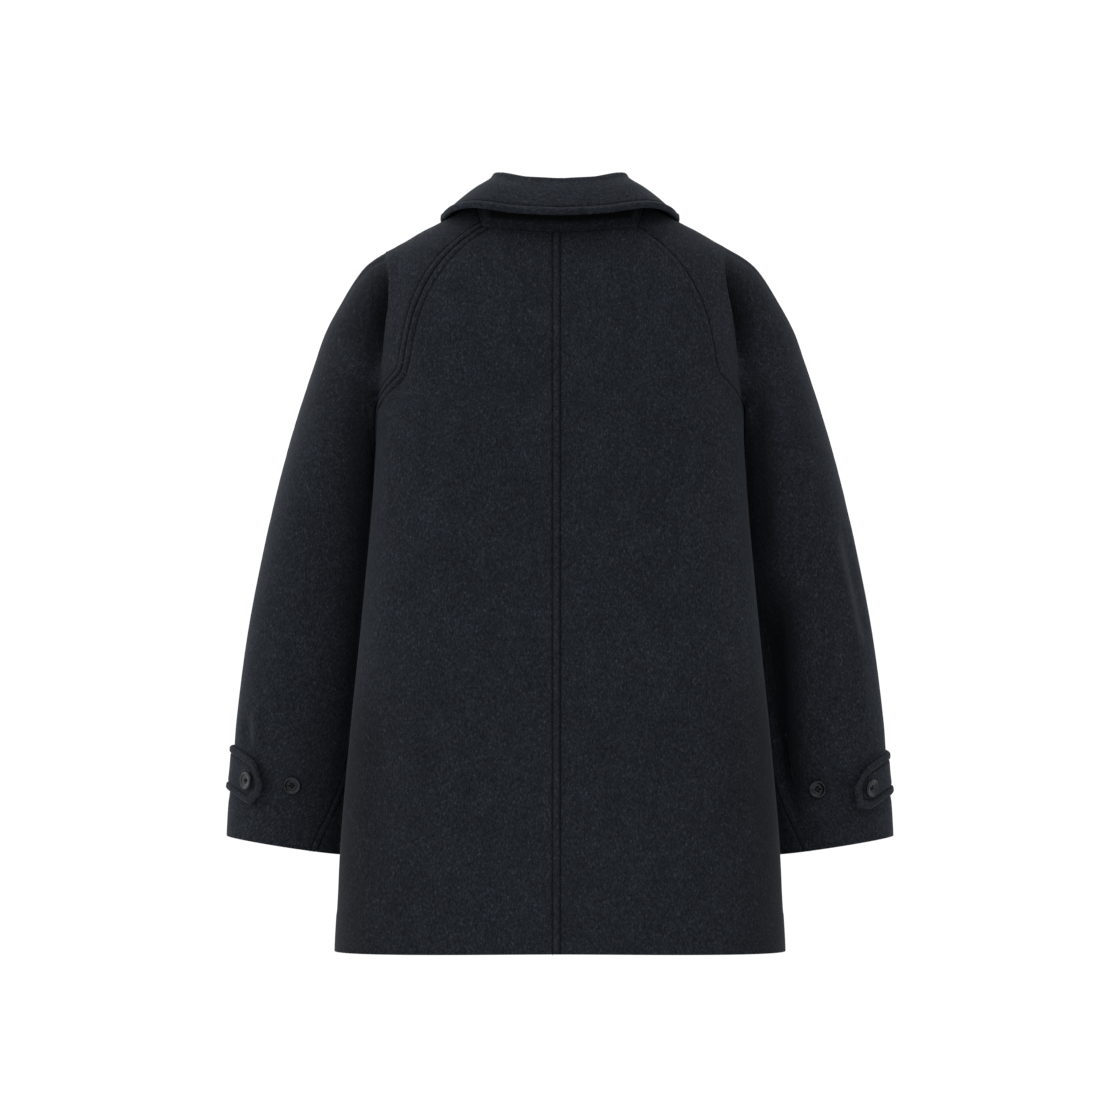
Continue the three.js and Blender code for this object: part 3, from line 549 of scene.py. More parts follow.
def multiplied(tree, a, b):
    kind = {"data_type": "RGBA", "blend_type": "MULTIPLY"}
    return node(tree, "ShaderNodeMix", kind, n0=1.0, n6=a, n7=b).outputs[2]


def new_material(name):
    material = bpy.data.materials.new(name)
    material.use_nodes = True
    return material, material.node_tree, material.node_tree.nodes["Principled BSDF"]


def surfaced(tree, shader, base, height, strength, distance):
    """Links a colour, and a bump of this strength and depth in metres."""
    tree.links.new(base, shader.inputs["Base Color"])
    bump = node(tree, "ShaderNodeBump", Strength=strength, Distance=distance, Height=height)
    tree.links.new(bump.outputs["Normal"], shader.inputs["Normal"])


def wool_coating():
    """Brushed melange wool coating. Charcoal, blue-black and a few pale grey fibres are spun
    together, so it looks dark and even from afar, flecked from near, with a soft matt nap."""
    material, tree, shader = new_material("brushed_melange_wool")
    cloth = node(tree, "ShaderNodeUVMap", {"uv_map": "cloth"}).outputs["UV"]
    skew = (0.5, 0.4, 0.3)
    grain, turned = (
        node(tree, "ShaderNodeMapping", Vector=cloth, Rotation=skew, Scale=(1, along, 1)).outputs[0]
        for along in (0.5, 0.7)
    )
    yarn = noise(tree, grain, 1.9, Detail=3.0, Roughness=0.65)
    fibre = noise(tree, grain, 0.85, Detail=2.0, Roughness=0.7)
    spun = mixed(tree, 0.4, yarn, fibre)
    body = ramp(tree, spun, (0.27, "040609"), (0.44, "101317"), (0.57, "1d2127"), (0.76, "43474e"))
    cloud = noise(tree, turned, 26, Detail=3.0, Roughness=0.55)
    tuft = noise(tree, turned, 6.5, Detail=2.0, Roughness=0.6)
    mottle = mixed(tree, 0.45, cloud, tuft)
    clouded = ramp(tree, mottle, (0.3, "c8cbd1"), (0.5, "e3e4e8"), (0.7, "ffffff"))
    # Painted shade: the attribute read here darkens the cloth in the seam grooves and rows of
    # topstitching, behind the folds and in the deep troughs, on the collar's stand, and towards the
    # sides of the lower back. The ramp below sets how dark.
    painted_shade = node(tree, "ShaderNodeAttribute", {"attribute_name": "painted_shade"}).outputs["Fac"]
    shade = ramp(tree, painted_shade, (0.0, "ffffff"), (0.7, "686868"), (1.0, "303030"))
    mottled_with_painted_shade = multiplied(tree, multiplied(tree, body, clouded), shade)
    surfaced(tree, shader, mottled_with_painted_shade, spun, 0.5, 0.0004)
    shader.inputs["Roughness"].default_value = 0.95
    shader.inputs["Specular IOR Level"].default_value = 0.1
    shader.inputs["Sheen Weight"].default_value = 0.035
    shader.inputs["Sheen Tint"].default_value = (0.72, 0.84, 1, 1)
    shader.inputs["Sheen Roughness"].default_value = 0.45
    return material


wool = wool_coating()

# The seam between the back and a sleeve, from the neck down: x, y, z, and whether it runs in the
# valley between them.
RAGLAN_BACK = (
    (85, 46, 2.6, 0),
    (100, 50, -7, 0),
    (122, 58, -29, 0),
    (145, 68, -59, 0),
    (163, 76, -92, 0),
    (174, 81, -126, 0),
    (180, 80, -156, 0),
    (189, 66, -169, 0),
    (198, 43, -183, 0),
    (202, 25, -197, 1),
    (205, 5, -222, 1),
    (*ARMPIT, 1),
)

# Soft creases of the back: x, z, x, z, wide, deep.
BACK_CREASES = (
    (142, -190, 140, -330, 15, -1.6),
    (188, -210, 191, -460, 12, 2.2),
    (200, -520, 203, -690, 13, -2.2),
    (173, -160, 184, -206, 5, -1.6),
    (184, -206, 196, -230, 5, -1.3),
    (164, -165, 178, -214, 6, 1.1),
    (-172, -165, -186, -192, 5, -1),
    (-186, -192, -198, -216, 5, -1),
    (-150, -260, -156, -520, 20, 1.6),
    (-102, -190, -116, -560, 15, -1.7),
    (-116, -560, -124, -680, 14, -2.2),
    (-176, -560, -182, -760, 20, -1.8),
    (-5, -742, -4, -796, 3.5, -0.9),
    (60, -330, 72, -560, 30, -0.8),
    (-60, -120, -52, -300, 26, -0.7),
    (20, -600, 34, -760, 30, 0.8),
)
# How strongly the topstitching draws the cloth in, and so how much painted shade lies along it: on the
# body's side of each raglan seam, on the sleeve's side, and down the underarm seam. It is worn flatter
# on the right.
BODY_STITCHED = {"left": 0.9, "right": 0.3}
SLEEVE_STITCHED = {"left": 0.9, "right": 0.12}
UNDERARM_STITCHED = {"left": 1, "right": 0.15}
CENTRE_STITCHED = {"left": 1.15, "right": 0}  # the centre seam, on one side only
THREAD_SUNK, SLEEVE_THREAD_SUNK = 0.4, 0.45  # how deep the thread lies where a row is worn flat
NECK_BACK_Z = -3.4  # the neck seam at the centre back
HEM_BAND, HEM_PROUD = 46, 0.5  # the turned-up hem stands a little proud this far up
HEM_FLARE = 1.6  # how far the hem swings out
# The lower back is this much squarer near its side seams: this far in, fading over this length,
# from this height down.
SQUARER, SQUARER_IN, SQUARER_FADE, SQUARER_TOP = 12, 18, 34, -380
# Painted shade darkens the lower back where it turns away towards its side seams: how dark, over what
# length, and from where.
LOWER_SIDE_PAINTED_SHADE, LOWER_SIDE_SHADE_FADE, LOWER_SIDE_SHADE_TOP = 0.5, 42, -450
HEM_ROWS = np.array([0, 0.2, 0.5, 0.9, 1.3, 2.2, 3.6])  # rows close to a free edge, from the edge


def yoke_parts(length):
    """Where the rows of the yoke start along its seam, from 0 to 1, close together at the neck."""
    parts = np.linspace(0, 1, int(length / ROW_STEP) + 1)
    near = HEM_ROWS[1:] / length
    return np.concatenate([[0], near, parts[parts > near[-1] * 1.3]])


def levels(top, bottom):
    """Heights from below the armpit to a hem or cuff, close together at the end."""
    z = np.linspace(top, bottom, int(abs(top - bottom) / ROW_STEP) + 1)[1:]
    near = bottom + HEM_ROWS[::-1]
    return np.concatenate([z[z > near[0] + 2], near])


def clear_of_seams(rows):
    """0 where a row meets its seams, rising to 1 a little further in."""
    return smooth(np.minimum(apart(rows, rows[:, :1]), apart(rows, rows[:, -1:])) / 14)[..., None]


def eased(grid, row, reach=6):
    """Draws the rows on both sides of one row into a smooth run, save close to the seams."""
    first, last = row - reach, row + reach
    t = np.linspace(0, 1, 2 * reach + 1)[:, None, None]
    start, end = grid[first], grid[last]
    ahead, behind = (start - grid[first - 2]) * reach, (grid[last + 2] - end) * reach
    run = (2 * t**3 - 3 * t**2 + 1) * start + (t**3 - 2 * t**2 + t) * ahead
    run += (3 * t**2 - 2 * t**3) * end + (t**3 - t**2) * behind
    part = grid[first : last + 1]
    free = clear_of_seams(part)
    grid[first : last + 1] = part * (1 - free) + run * free
    return grid


def combed(grid):
    """Evens out the small steps from row to row, save near the edges and seams."""
    for _ in range(3):
        part = grid[2:-12]
        free = clear_of_seams(part)
        even = part / 2 + (grid[1:-13] + grid[3:-11]) / 4
        grid[2:-12] = part * (1 - free) + even * free
    return grid


# What later sections need of the panels: where they meet at the armpits, their raglan seams, their
# neck edges, and the paths of their topstitching.
armpits, raglans, necks, stitch_paths = {}, {}, {}, []
STITCHED_COLUMN = int(np.argmin(np.abs(NEAR_SEAM - STITCH_IN)))


def yoke_places(raglan, armpit, parts):
    """Where each yoke row meets a raglan seam: even steps of half its length and half its height."""
    top = raglan.points[0, 2]
    fallen = (top - raglan.points[:, 2]) / (top - armpit[2])
    return raglan.where(2 - raglan.lengths / raglan.length - fallen, 2 - 2 * parts)


def middle(x, z, way):
    """Points of the torso's own middle line, at the centre back or past the centre front."""
    p = np.stack([np.full_like(z, x), np.full_like(z, way * 80.0), z], -1)
    p = settle(torso, p, True)
    p[:, 0] = x
    return settle(torso, p, True)


def body_grid(side, way, raglan, armpit, x, neck_z, rise):
    """Rows of one half of the back or front, its neck edge, and how many rows are in its yoke."""
    parts = yoke_parts(raglan.length)
    place = yoke_places(raglan, armpit, parts)
    far = raglan.at(place)
    near = middle(x, neck_z + (ARMPIT[2] - neck_z) * parts, way)
    inside = np.stack([0 * parts, np.full_like(parts, RIDGE_Y), far[:, 2]], -1)
    upper = rays(body_side, inside, near, far, way)
    z = levels(ARMPIT[2], HEM_Z)
    down = (z - ARMPIT[2]) / (HEM_Z - ARMPIT[2])
    far = settle(torso, np.stack([np.full_like(z, side * 230), np.full_like(z, ARMPIT[1]), z], -1), True)
    near = middle(x, z + rise * down, way)
    inside = np.stack([0 * z, np.full_like(z, RIDGE_Y), z], -1)
    lower = rays(torso, inside, near, far, way)
    columns = int(np.max([Line(r).length for r in (upper[-1], lower[-1])]) / COLUMN_STEP) - 6
    ways = np.concatenate([raglan.way(place), np.tile([0.0, 0, 1], (len(z), 1))])
    grid = spread(np.concatenate([upper, lower]), columns, None, ways)
    return combed(eased(grid, len(parts))), upper[0], len(parts)


for name, side in SIDES:
    armpit = settle(form, ARMPIT * np.array([side, 1, 1]))
    armpits[name] = armpit
    raglans[name, "back"] = seam(RAGLAN_BACK, side, form, last=armpit)
    raglan = raglans[name, "back"]
    grid, neck, yoke_rows = body_grid(side, 1, raglan, armpit, 0, NECK_BACK_Z, HEM_RISE)
    necks[name, "back"] = neck
    from_side = apart(grid, grid[:, -1:])
    past = np.maximum(from_side - SQUARER_IN, 0)
    squarer = SQUARER * smooth(from_side / SQUARER_IN) * bell(past, SQUARER_FADE)
    grid[..., 1] += squarer * smooth((SQUARER_TOP - grid[..., 2]) / 200)
    normals = grid_normals(grid, gradient(torso, grid))
    moved = creased(grid, normals, BACK_CREASES)
    hem_up = grid[..., 2] - grid[-1, :, 2]
    moved += HEM_FLARE * smooth((HEM_BAND * 1.6 - hem_up) / 70)
    moved *= smooth(from_side / 16)
    moved += HEM_PROUD * smooth((HEM_BAND - hem_up) / 6)
    relief, painted_shade = seam_reliefs(
        grid,
        (grid[:, 0], 11, CENTRE_STITCHED[name]),
        (grid[:yoke_rows, -1], 12 + side, BODY_STITCHED[name]),
        (grid[yoke_rows - 1 :, -1], 15 + side, 0),
        (grid[0], 18 + side, 0, 0.5),
    )
    # painted shade, darkest at the lower back's side seams and fading inwards
    inside = np.abs(grid[..., 0]).max(axis=1, keepdims=True) - np.abs(grid[..., 0])
    lower_side_shade = np.exp(-inside / LOWER_SIDE_SHADE_FADE) * smooth((LOWER_SIDE_SHADE_TOP - grid[..., 2]) / 130)
    painted_shade = np.maximum(painted_shade, LOWER_SIDE_PAINTED_SHADE * lower_side_shade)
    edge = free_edge(np.minimum(hem_up, apart(grid, grid[0])))
    outer, inner = faces_of(grid, normals, moved, relief, edge)
    piece = shell(f"back_{name}_cloth", outer, inner, painted_shade)
    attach(piece, "root")
    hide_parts(f"back_{name}")
    sunk = THREAD_SUNK * (1 - BODY_STITCHED[name])
    stitch_paths.append((outer - sunk * normals)[:yoke_rows, -1 - STITCHED_COLUMN])
    if side > 0:
        stitch_paths.append(outer[:, STITCHED_COLUMN])

# ---------------------------------------------------------------- the sleeves
# Split raglan sleeves: each has a back and a front piece that meet along the shoulder and down
# the outside of the arm, and again under the arm. They run up to the neck, and hang so close to
# the body that the cloth folds into the armhole. The raglan and underarm seams are topstitched.

FOLD_PART = 0.78  # beyond this part of the yoke the seam runs in the fold
CUFF_Z, CUFF_PROUD = -686, 0.35  # the turned-up cuff is as deep as the hem
SUNK_PAINTED_SHADE = 0.05  # how much painted shade darkens the cloth for each mm that it drops behind a fold
# The other seams of one side, from the neck or the armpit down, in the same way.
OVERARM = (
    (91, -7, 28, 0),
    (133, -8, 9, 0),
    (168, -8, -9, 0),
    (200, -8, -27, 0),
    (221, -9, -46, 0),
    (240, -13, -76, 0),
    (269, -20, -142, 0),
    (298, -32, -235, 0),
    (322, -56, -343, 0),
    (334, -80, -443, 0),
    (340, -102, -543, 0),
    (341, -122, -684, 0),
    (341, -125, -710, 0),
)
UNDERARM = (
    (*ARMPIT, 0),
    (209, -36, -290, 0),
    (213, -46, -343, 0),
    (221, -53, -443, 0),
    (232, -54, -543, 0),
    (238, -51, -600, 0),
    (250, -41, -640, 0),
    (269, -31, -684, 0),
    (276, -30, -715, 0),
)
RAGLAN_FRONT = (
    (72, -65, -25, 0),
    (96, -74, -48, 0),
    (122, -83, -78, 0),
    (146, -90, -110, 0),
    (164, -92, -140, 0),
    (178, -86, -164, 0),
    (188, -71, -182, 0),
    (195, -54, -198, 1),
    (201, -41, -222, 1),
    (*ARMPIT, 1),
)
# A point inside each sleeve row of the yoke, from the neck (0) to the armpit (1).
YOKE_MIDDLE = table(
    "part x y z",
    (0, 74, -8, -12),
    (0.5, 160, -8, -88),
    (0.75, 205, -12, -145),
    (1, 252, -33, -245),
)
# Soft creases of the sleeves: x, z, x, z, wide, deep.
SLEEVE_CREASES = {
    ("left", 1): (
        (351, -540, 349, -580, 4.5, -3.2),
        (339, -528, 337, -578, 4.5, 3.4),
        (214, -150, 224, -330, 12, -5),
        (300, -250, 262, -300, 18, 1.3),
        (330, -420, 290, -470, 16, -1.2),
        (270, -380, 262, -560, 18, -1.0),
    ),
    ("right", 1): (
        (-234, -375, -246, -690, 22, -15),
        (-216, -150, -228, -380, 13, -7),
        (-298, -320, -334, -473, 7, 3.2),
        (-334, -473, -340, -550, 7, 2.2),
        (-313, -320, -348, -473, 6, -2.6),
        (-262, -246, -300, -252, 6, -1.3),
        (-262, -238, -298, -243, 6, 1.2),
        (-268, -330, -282, -480, 14, -1.0),
    ),
}
SLEEVE_FRONT_CREASES = (
    (300, -260, 250, -300, 14, -2.2),
    (318, -330, 270, -352, 13, -1.8),
    (330, -410, 285, -400, 15, 1.6),
    (262, -420, 268, -560, 16, 1.3),
    (225, -150, 205, -210, 9, -1.4),
)

# Where the cloth folds from the shoulder into the armhole, seen from behind: a sharp edge on the
# body's side, beyond which the sleeve drops back. How deep it drops, and how proud the edge is.
FOLD = {
    "left": table(
        "z x deep proud",
        (-14, 196, 0, 0),
        (-28, 194, 6, 2),
        (-52, 190.5, 13, 2.5),
        (-78, 189.7, 16, 2.5),
        (-112, 193.8, 15, 2),
        (-136, 196.5, 8, 1),
        (-156, 199, 0, 0),
    ),
    "right": table(
        "z x deep proud",
        (-10, 184, 0, 0),
        (-26, 183.5, 6, 0.8),
        (-50, 184, 12, 1),
        (-72, 187, 16, 1),
        (-96, 192, 16, 1),
        (-126, 195.5, 10, 0.6),
        (-152, 199, 0, 0),
    ),
}
FOLD_DROP, FOLD_BACK = 4.5, 20  # it drops over the one length and comes back over the other


def folded(p, side):
    """How far the fold moves the sleeve's back piece out or in."""
    fold = FOLD["left" if side > 0 else "right"]
    z = p[..., 2]
    beyond = side * p[..., 0] - read(fold, "x", z)
    deep, proud = read(fold, "deep", z), read(fold, "proud", z)
    inside = (z < fold["z"][0]) & (z > fold["z"][-1]) & (p[..., 1] > RIDGE_Y - 4)
    dropped = -deep * smooth((beyond + 1.5) / FOLD_DROP) * np.exp(-np.maximum(beyond, 0) / FOLD_BACK)
    edge = proud * smooth((beyond + 16) / 15) * smooth((1 - beyond) / 3)
    return (dropped + edge) * inside * smooth((p[..., 1] - RIDGE_Y) / 14)


def sleeve_grid(side, way, raglan, armpit, overarm, underarm):
    """Rows of one half of a sleeve, from its raglan and underarm seams to its overarm seam, which
    way is out at each point, its neck edge, and how many rows are in its yoke."""
    parts = yoke_parts(raglan.length)
    place = yoke_places(raglan, armpit, parts)
    near = raglan.at(place)
    shoulder = overarm.where(overarm.points[:, 2], ARMPIT[2])
    far = overarm.at(shoulder * parts)
    inside = np.stack([read(YOKE_MIDDLE, k, parts, "part") for k in ("x", "y", "z")], -1)
    inside[:, 0] *= side
    open_rows = parts < FOLD_PART
    upper = np.concatenate(
        [
            rays(surface, inside[chosen], near[chosen], far[chosen], way)
            for surface, chosen in ((form, open_rows), (sleeve_side, ~open_rows))
        ]
    )
    starts, ends, middles = [], [], []
    for z in levels(ARMPIT[2], CUFF_Z):
        slope = read(SLEEVE, "slope", z)
        x = (read(SLEEVE, "outer", z) + read(SLEEVE, "inner", z)) / 2
        for line, found in ((underarm, starts), (overarm, ends)):
            height = line.points[:, 2] - slope * (side * line.points[:, 0] - x)
            found.append(line.at(line.where(height, z)))
        middles.append((side * x, read(SLEEVE, "y", z), z))
    lower = rays(sleeve, np.array(middles), np.array(starts), np.array(ends), way)
    columns = int(Line(lower[-1]).length / COLUMN_STEP) - 4
    ways = np.concatenate([raglan.way(place), np.tile([0.0, 0, 1], (len(lower), 1))])
    folds = None
    if way > 0:
        fold = FOLD["left" if side > 0 else "right"]
        rows = np.concatenate([upper, lower])
        out = side * rows[..., 0] - read(fold, "x", rows[..., 2])
        first = np.argmax(out > 0, axis=1)
        folds = np.array([Line(r).lengths[k] for r, k in zip(rows, first)])
        z = rows[np.arange(len(rows)), first, 2]
        folds = np.where((first > 0) & (z > fold["z"][-1] - 10), folds, 0)
        kernel = np.ones(7) / 7
        folds = np.convolve(np.pad(folds, 3, mode="edge"), kernel, mode="valid")
    grid = spread(np.concatenate([upper, lower]), columns, ways, None, folds)
    outside = gradient(sleeve, grid)
    opened = int(open_rows.sum())
    outside[:opened] = gradient(form, grid[:opened])
    grid = combed(eased(eased(grid, opened), len(parts)))
    return grid, outside, upper[0], len(parts)


for name, side in SIDES:
    armpit = armpits[name]
    raglans[name, "front"] = seam(RAGLAN_FRONT, side, form, last=armpit)
    overarm = seam(OVERARM, side, form)
    underarm = seam(UNDERARM, side, sleeve, level=True, first=armpit)
    for half, way in (("back", 1), ("front", -1)):
        raglan = raglans[name, half]
        grid, outside, neck, yoke_rows = sleeve_grid(side, way, raglan, armpit, overarm, underarm)
        necks[name, f"sleeve_{half}"] = neck
        normals = grid_normals(grid, outside)
        creases = SLEEVE_CREASES.get((name, way)) or [
            (side * x0, z0, side * x1, z1, wide, deep)
            for x0, z0, x1, z1, wide, deep in SLEEVE_FRONT_CREASES
        ]
        moved = creased(grid, normals, creases, way) * smooth(apart(grid, grid[:, :1]) / 16)
        cuff_up = apart(grid, grid[-1])
        moved += CUFF_PROUD * smooth((HEM_BAND - cuff_up) / 6)
        relief, painted_shade = seam_reliefs(
            grid,
            (grid[:yoke_rows, 0], 31 + 4 * side + way, SLEEVE_STITCHED[name] if way > 0 else 0.9),
            (grid[yoke_rows - 1 :, 0], 41 + 4 * side + way, UNDERARM_STITCHED[name] * (way > 0)),
            (grid[:, -1], 51 + side, 0.9 if way < 0 else 0),
            (grid[0], 54 + side, 0, 0.12),
        )
        if way > 0:
            drop = folded(grid, side)
            moved += drop
            # painted shade behind the fold, and on the right sleeve in its deepest troughs
            painted_shade = np.maximum(painted_shade, SUNK_PAINTED_SHADE * np.maximum(-drop, 0))
            if side < 0:
                painted_shade = np.maximum(painted_shade, SUNK_PAINTED_SHADE * np.maximum(-moved - 2, 0))
        edge = free_edge(np.minimum(cuff_up, apart(grid, grid[0])))
        outer, inner = faces_of(grid, normals, moved, relief, edge)
        piece = shell(f"sleeve_{half}_{name}_cloth", outer, inner, painted_shade)
        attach(piece, "root")
        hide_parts(f"sleeve_{half}_{name}")
        sunk = SLEEVE_THREAD_SUNK * (1 - SLEEVE_STITCHED[name]) * (way > 0)
        stitched_on = outer - sunk * normals
        stitch_paths.append(stitched_on[:yoke_rows, STITCHED_COLUMN])
        if way > 0:
            stitch_paths.append(stitched_on[yoke_rows:, STITCHED_COLUMN])
        else:
            stitch_paths.append(outer[:, -1 - STITCHED_COLUMN])

# ---------------------------------------------------------------- the fronts
# Two plain fronts that close up to the neck, the left one over the right one. Their edges are
# turned, and topstitched like the seams.

OVERLAP = 28  # each front runs this far past the centre front
NECK_EDGE_Z = -66  # the neck seam at the front edges
FRONT_LIFT = CLOTH + 1.2  # the left front lies this far outside the right front
LIFT_X, LIFT_SOFT = 62, 30  # where it begins to lift, and how much further on it is clear
# Soft creases of the fronts: x, z, x, z, wide, deep.
FRONT_CREASES = (
    (120, -180, 130, -360, 26, -1.6),
    (-136, -200, -128, -420, 26, -1.5),
    (70, -420, 84, -700, 30, 1.3),
    (-80, -380, -92, -690, 30, 1.4),
    (176, -300, 190, -620, 20, -1.3),
    (-180, -340, -192, -640, 20, -1.2),
)


def overlap_lift(p, ahead=0):
    """How far the left front stands off the form where it laps over the right front."""
    return FRONT_LIFT * smooth((LIFT_X + ahead - p[..., 0]) / LIFT_SOFT)


for name, side in SIDES:
    raglan = raglans[name, "front"]
    grid, neck, yoke_rows = body_grid(side, -1, raglan, armpits[name], -side * OVERLAP, NECK_EDGE_Z, 0)
    necks[name, "front"] = neck
    normals = grid_normals(grid, gradient(torso, grid))
    moved = creased(grid, normals, FRONT_CREASES, -1)
    if side > 0:
        moved += overlap_lift(grid)
    hem_up = grid[..., 2] - grid[-1, :, 2]
    moved += HEM_PROUD * smooth((HEM_BAND - hem_up) / 6)
    relief, painted_shade = seam_reliefs(
        grid,
        (grid[:yoke_rows, -1], 62 + side, 0.9),
        (grid[yoke_rows - 1 :, -1], 15 + side, 0),
        (grid[0], 64 + side, 0),
        (grid[:, 0], 66, 1, 0),
    )
    open_edges = np.minimum(np.minimum(hem_up, apart(grid, grid[:, :1])), apart(grid, grid[0]))
    outer, inner = faces_of(grid, normals, moved, relief, free_edge(open_edges))
    piece = shell(f"front_{name}_cloth", outer, inner, painted_shade)
    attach(piece, "root")
    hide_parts(f"front_{name}")
    stitch_paths.append(outer[:yoke_rows, -1 - STITCHED_COLUMN])
    stitch_paths.append(outer[:, STITCHED_COLUMN])

# ---------------------------------------------------------------- the collar
# A turn-down collar of two layers with an interlining: a stand rises from the neck seam, rolls
# over, and the fall lies on the shoulders. A row of topstitching gathers its edge into a roll.

COLLAR_CLOTH = 4
COLLAR_ROLL = 4.6  # radius at the fold
COLLAR_GAP, COLLAR_CLEAR = 0.3, 2.5  # how far it stands off the neck seam, and off the shoulders
COLLAR_AHEAD = 18  # it begins to lift over the lap this much sooner than the left front does
COLLAR_FRONT_Y = -40  # ahead of this it lies on the fronts
COLLAR_OPENING = 3  # each end stops this far from the centre front
COLLAR_STITCH_IN = 9.6
COLLAR_ROWS, COLLAR_LINES = 62, 34  # rows to each half, and points to a row, before the edges' own
STAND_LINES, FALL_LINES = 13, 20  # the stand ends at the one, and the fall has begun at the other
STAND_PAINTED_SHADE, NECK_PAINTED_SHADE = 0.9, 0.35  # how dark painted shade makes the stand under the fall, and the neck seam
COLLAR_SWELL, COLLAR_DRAWN = 2.0, 1.0  # how high the edge rolls, and how deep the stitches draw
ROLL_TOP = 3.2  # the roll is highest this far from the edge
# From the centre back (0) to the centre front (1): where the fold is and where the fall ends.
COLLAR = table(
    "part fold_x fold_y fold_z edge_x edge_y edge_z bow",
    (0, 0, 57, 55, 0, 98, 13.2, 2),
    (0.13, 34, 51, 57, 50, 89, 16.2, 2),
    (0.26, 61, 32, 62, 95, 71, 23.3, 2),
    (0.37, 71, 12, 63.5, 120, 42, 21, 2),
    (0.46, 72, -8, 61, 131, -6, 14, 1.5),
    (0.56, 68, -34, 48, 130, -42, 1, 0),
    (0.75, 52, -69, 2, 110, -92, -50, 1),
    (0.9, 24, -84, -33, 78, -108, -98, 1),
    (1, 4, -90, -52, 46, -112, -124, 1),
)
# Where the points stand near a free edge, in mm from it.
COLLAR_EDGE = np.array([0, 0.15, 0.45, 0.9, 1.4, 2, 3, 4.6, 6.6, 8, 8.9, 9.6, 10.3, 11.2, 13])


def keep_off(p, distance):
    """Keeps points this far outside the form, and farther where the left front is lifted."""
    for _ in range(4):
        slope = gradient(form, p)
        lapped = smooth(2 + p[..., 0] / OVERLAP) * smooth((COLLAR_FRONT_Y - p[..., 1]) / 20)
        size = np.maximum(np.linalg.norm(slope, axis=-1), 1e-6)
        short = distance + lapped * overlap_lift(p, COLLAR_AHEAD) - form(p) / size
        p = p + slope * (np.maximum(short, 0) / size)[..., None]
    return p


def collar_sections(parts, side, neck):
    """The collar's middle, from the neck seam over the fold to its edge, at parts of one half."""
    place = np.clip(neck.length * parts, 1, neck.length - 1)
    base = neck.at(neck.length * parts)
    normal = unit(gradient(form, base))
    ahead = neck.at(place + 1) - neck.at(place - 1)
    up = unit(np.cross(ahead, normal)) * side
    out = unit(normal * [1, 1, 0])
    value = {k: read(COLLAR, k, parts, "part") for k in COLLAR}
    fold = np.stack([side * value["fold_x"], value["fold_y"], value["fold_z"]], -1)
    edge = np.stack([side * value["edge_x"], value["edge_y"], value["edge_z"]], -1)
    lift = overlap_lift(base) * (base[:, 1] < COLLAR_FRONT_Y) * (side > 0)
    start = base + up * COLLAR_GAP + normal * (lift - COLLAR_CLOTH / 2)[:, None]
    lead = start + up * 4
    drop = np.array([0, 0, COLLAR_ROLL])
    rising = fold - out * COLLAR_ROLL - drop
    falling = fold + out * COLLAR_ROLL - drop
    stand = (lead + rising) / 2 + out * 1.5
    fall = []
    for t in (0.35, 0.7, 1):
        bulge = value["bow"][:, None] * math.sin(math.pi * t)
        fall.append(falling + (edge - falling) * t + out * bulge + bulge * np.array([0, 0, 1]))
    t = np.linspace(0, 1, 161)
    lines = curve(np.stack([start, lead, stand, rising, fold, falling, *fall]), t)
    past_fold = t > 0.6
    lines[past_fold] = keep_off(lines[past_fold], COLLAR_CLOTH / 2 + COLLAR_CLEAR)
    return np.swapaxes(lines, 0, 1)


sides = []
for name, side in SIDES[::-1]:
    front = necks[name, "front"]
    front = front[side * front[:, 0] > COLLAR_OPENING][::-1]
    over_back, over_front = necks[name, "sleeve_back"], necks[name, "sleeve_front"][::-1]
    neck = Line(np.concatenate([necks[name, "back"], over_back[1:], over_front[1:], front[1:]]))
    near_end = 1 - COLLAR_EDGE[::-1] / 100
    parts = np.concatenate([np.linspace(0, near_end[0], COLLAR_ROWS)[:-1], near_end])
    sections = collar_sections(parts, side, neck)
    sides.append(sections[:0:-1] if side < 0 else sections)
rows = []
for section in np.concatenate(sides):
    line = Line(section)
    inward = np.linspace(0, line.length - 15, COLLAR_LINES)
    rows.append(line.at(np.concatenate([inward, line.length - COLLAR_EDGE[::-1]])))
grid = np.array(rows)
number = np.arange(grid.shape[1])
falls = smooth((number - FALL_LINES) / 4)
edge_in = np.minimum(away(grid, grid[0])[0], away(grid, grid[-1])[0])
edge_in = np.minimum(apart(grid, grid[:, -1:]), edge_in)
along = np.cumsum(np.linalg.norm(np.diff(grid[:, -1], axis=0, prepend=grid[:1, -1]), axis=-1))[:, None]
half = COLLAR_CLOTH / 2 - free_edge(edge_in, COLLAR_CLOTH)
sloped = np.clip((edge_in - ROLL_TOP) / (COLLAR_STITCH_IN - ROLL_TOP), 0, 1) ** 2
swell = (COLLAR_SWELL + 0.2 * wander(along, 71)) * (smooth(edge_in / 3) * (1 - sloped)) * falls
row = bell(edge_in - COLLAR_STITCH_IN, 1.2) * falls
drawn = (COLLAR_DRAWN + 0.2 * wander(along, 72)) * row
normals = grid_normals(grid)
normals = normals * np.sign(normals[len(grid) // 2, -8, 1])
outer = grid + normals * (half + swell - drawn)[..., None]
inner = grid - normals * (half + 0.3 * swell)[..., None]
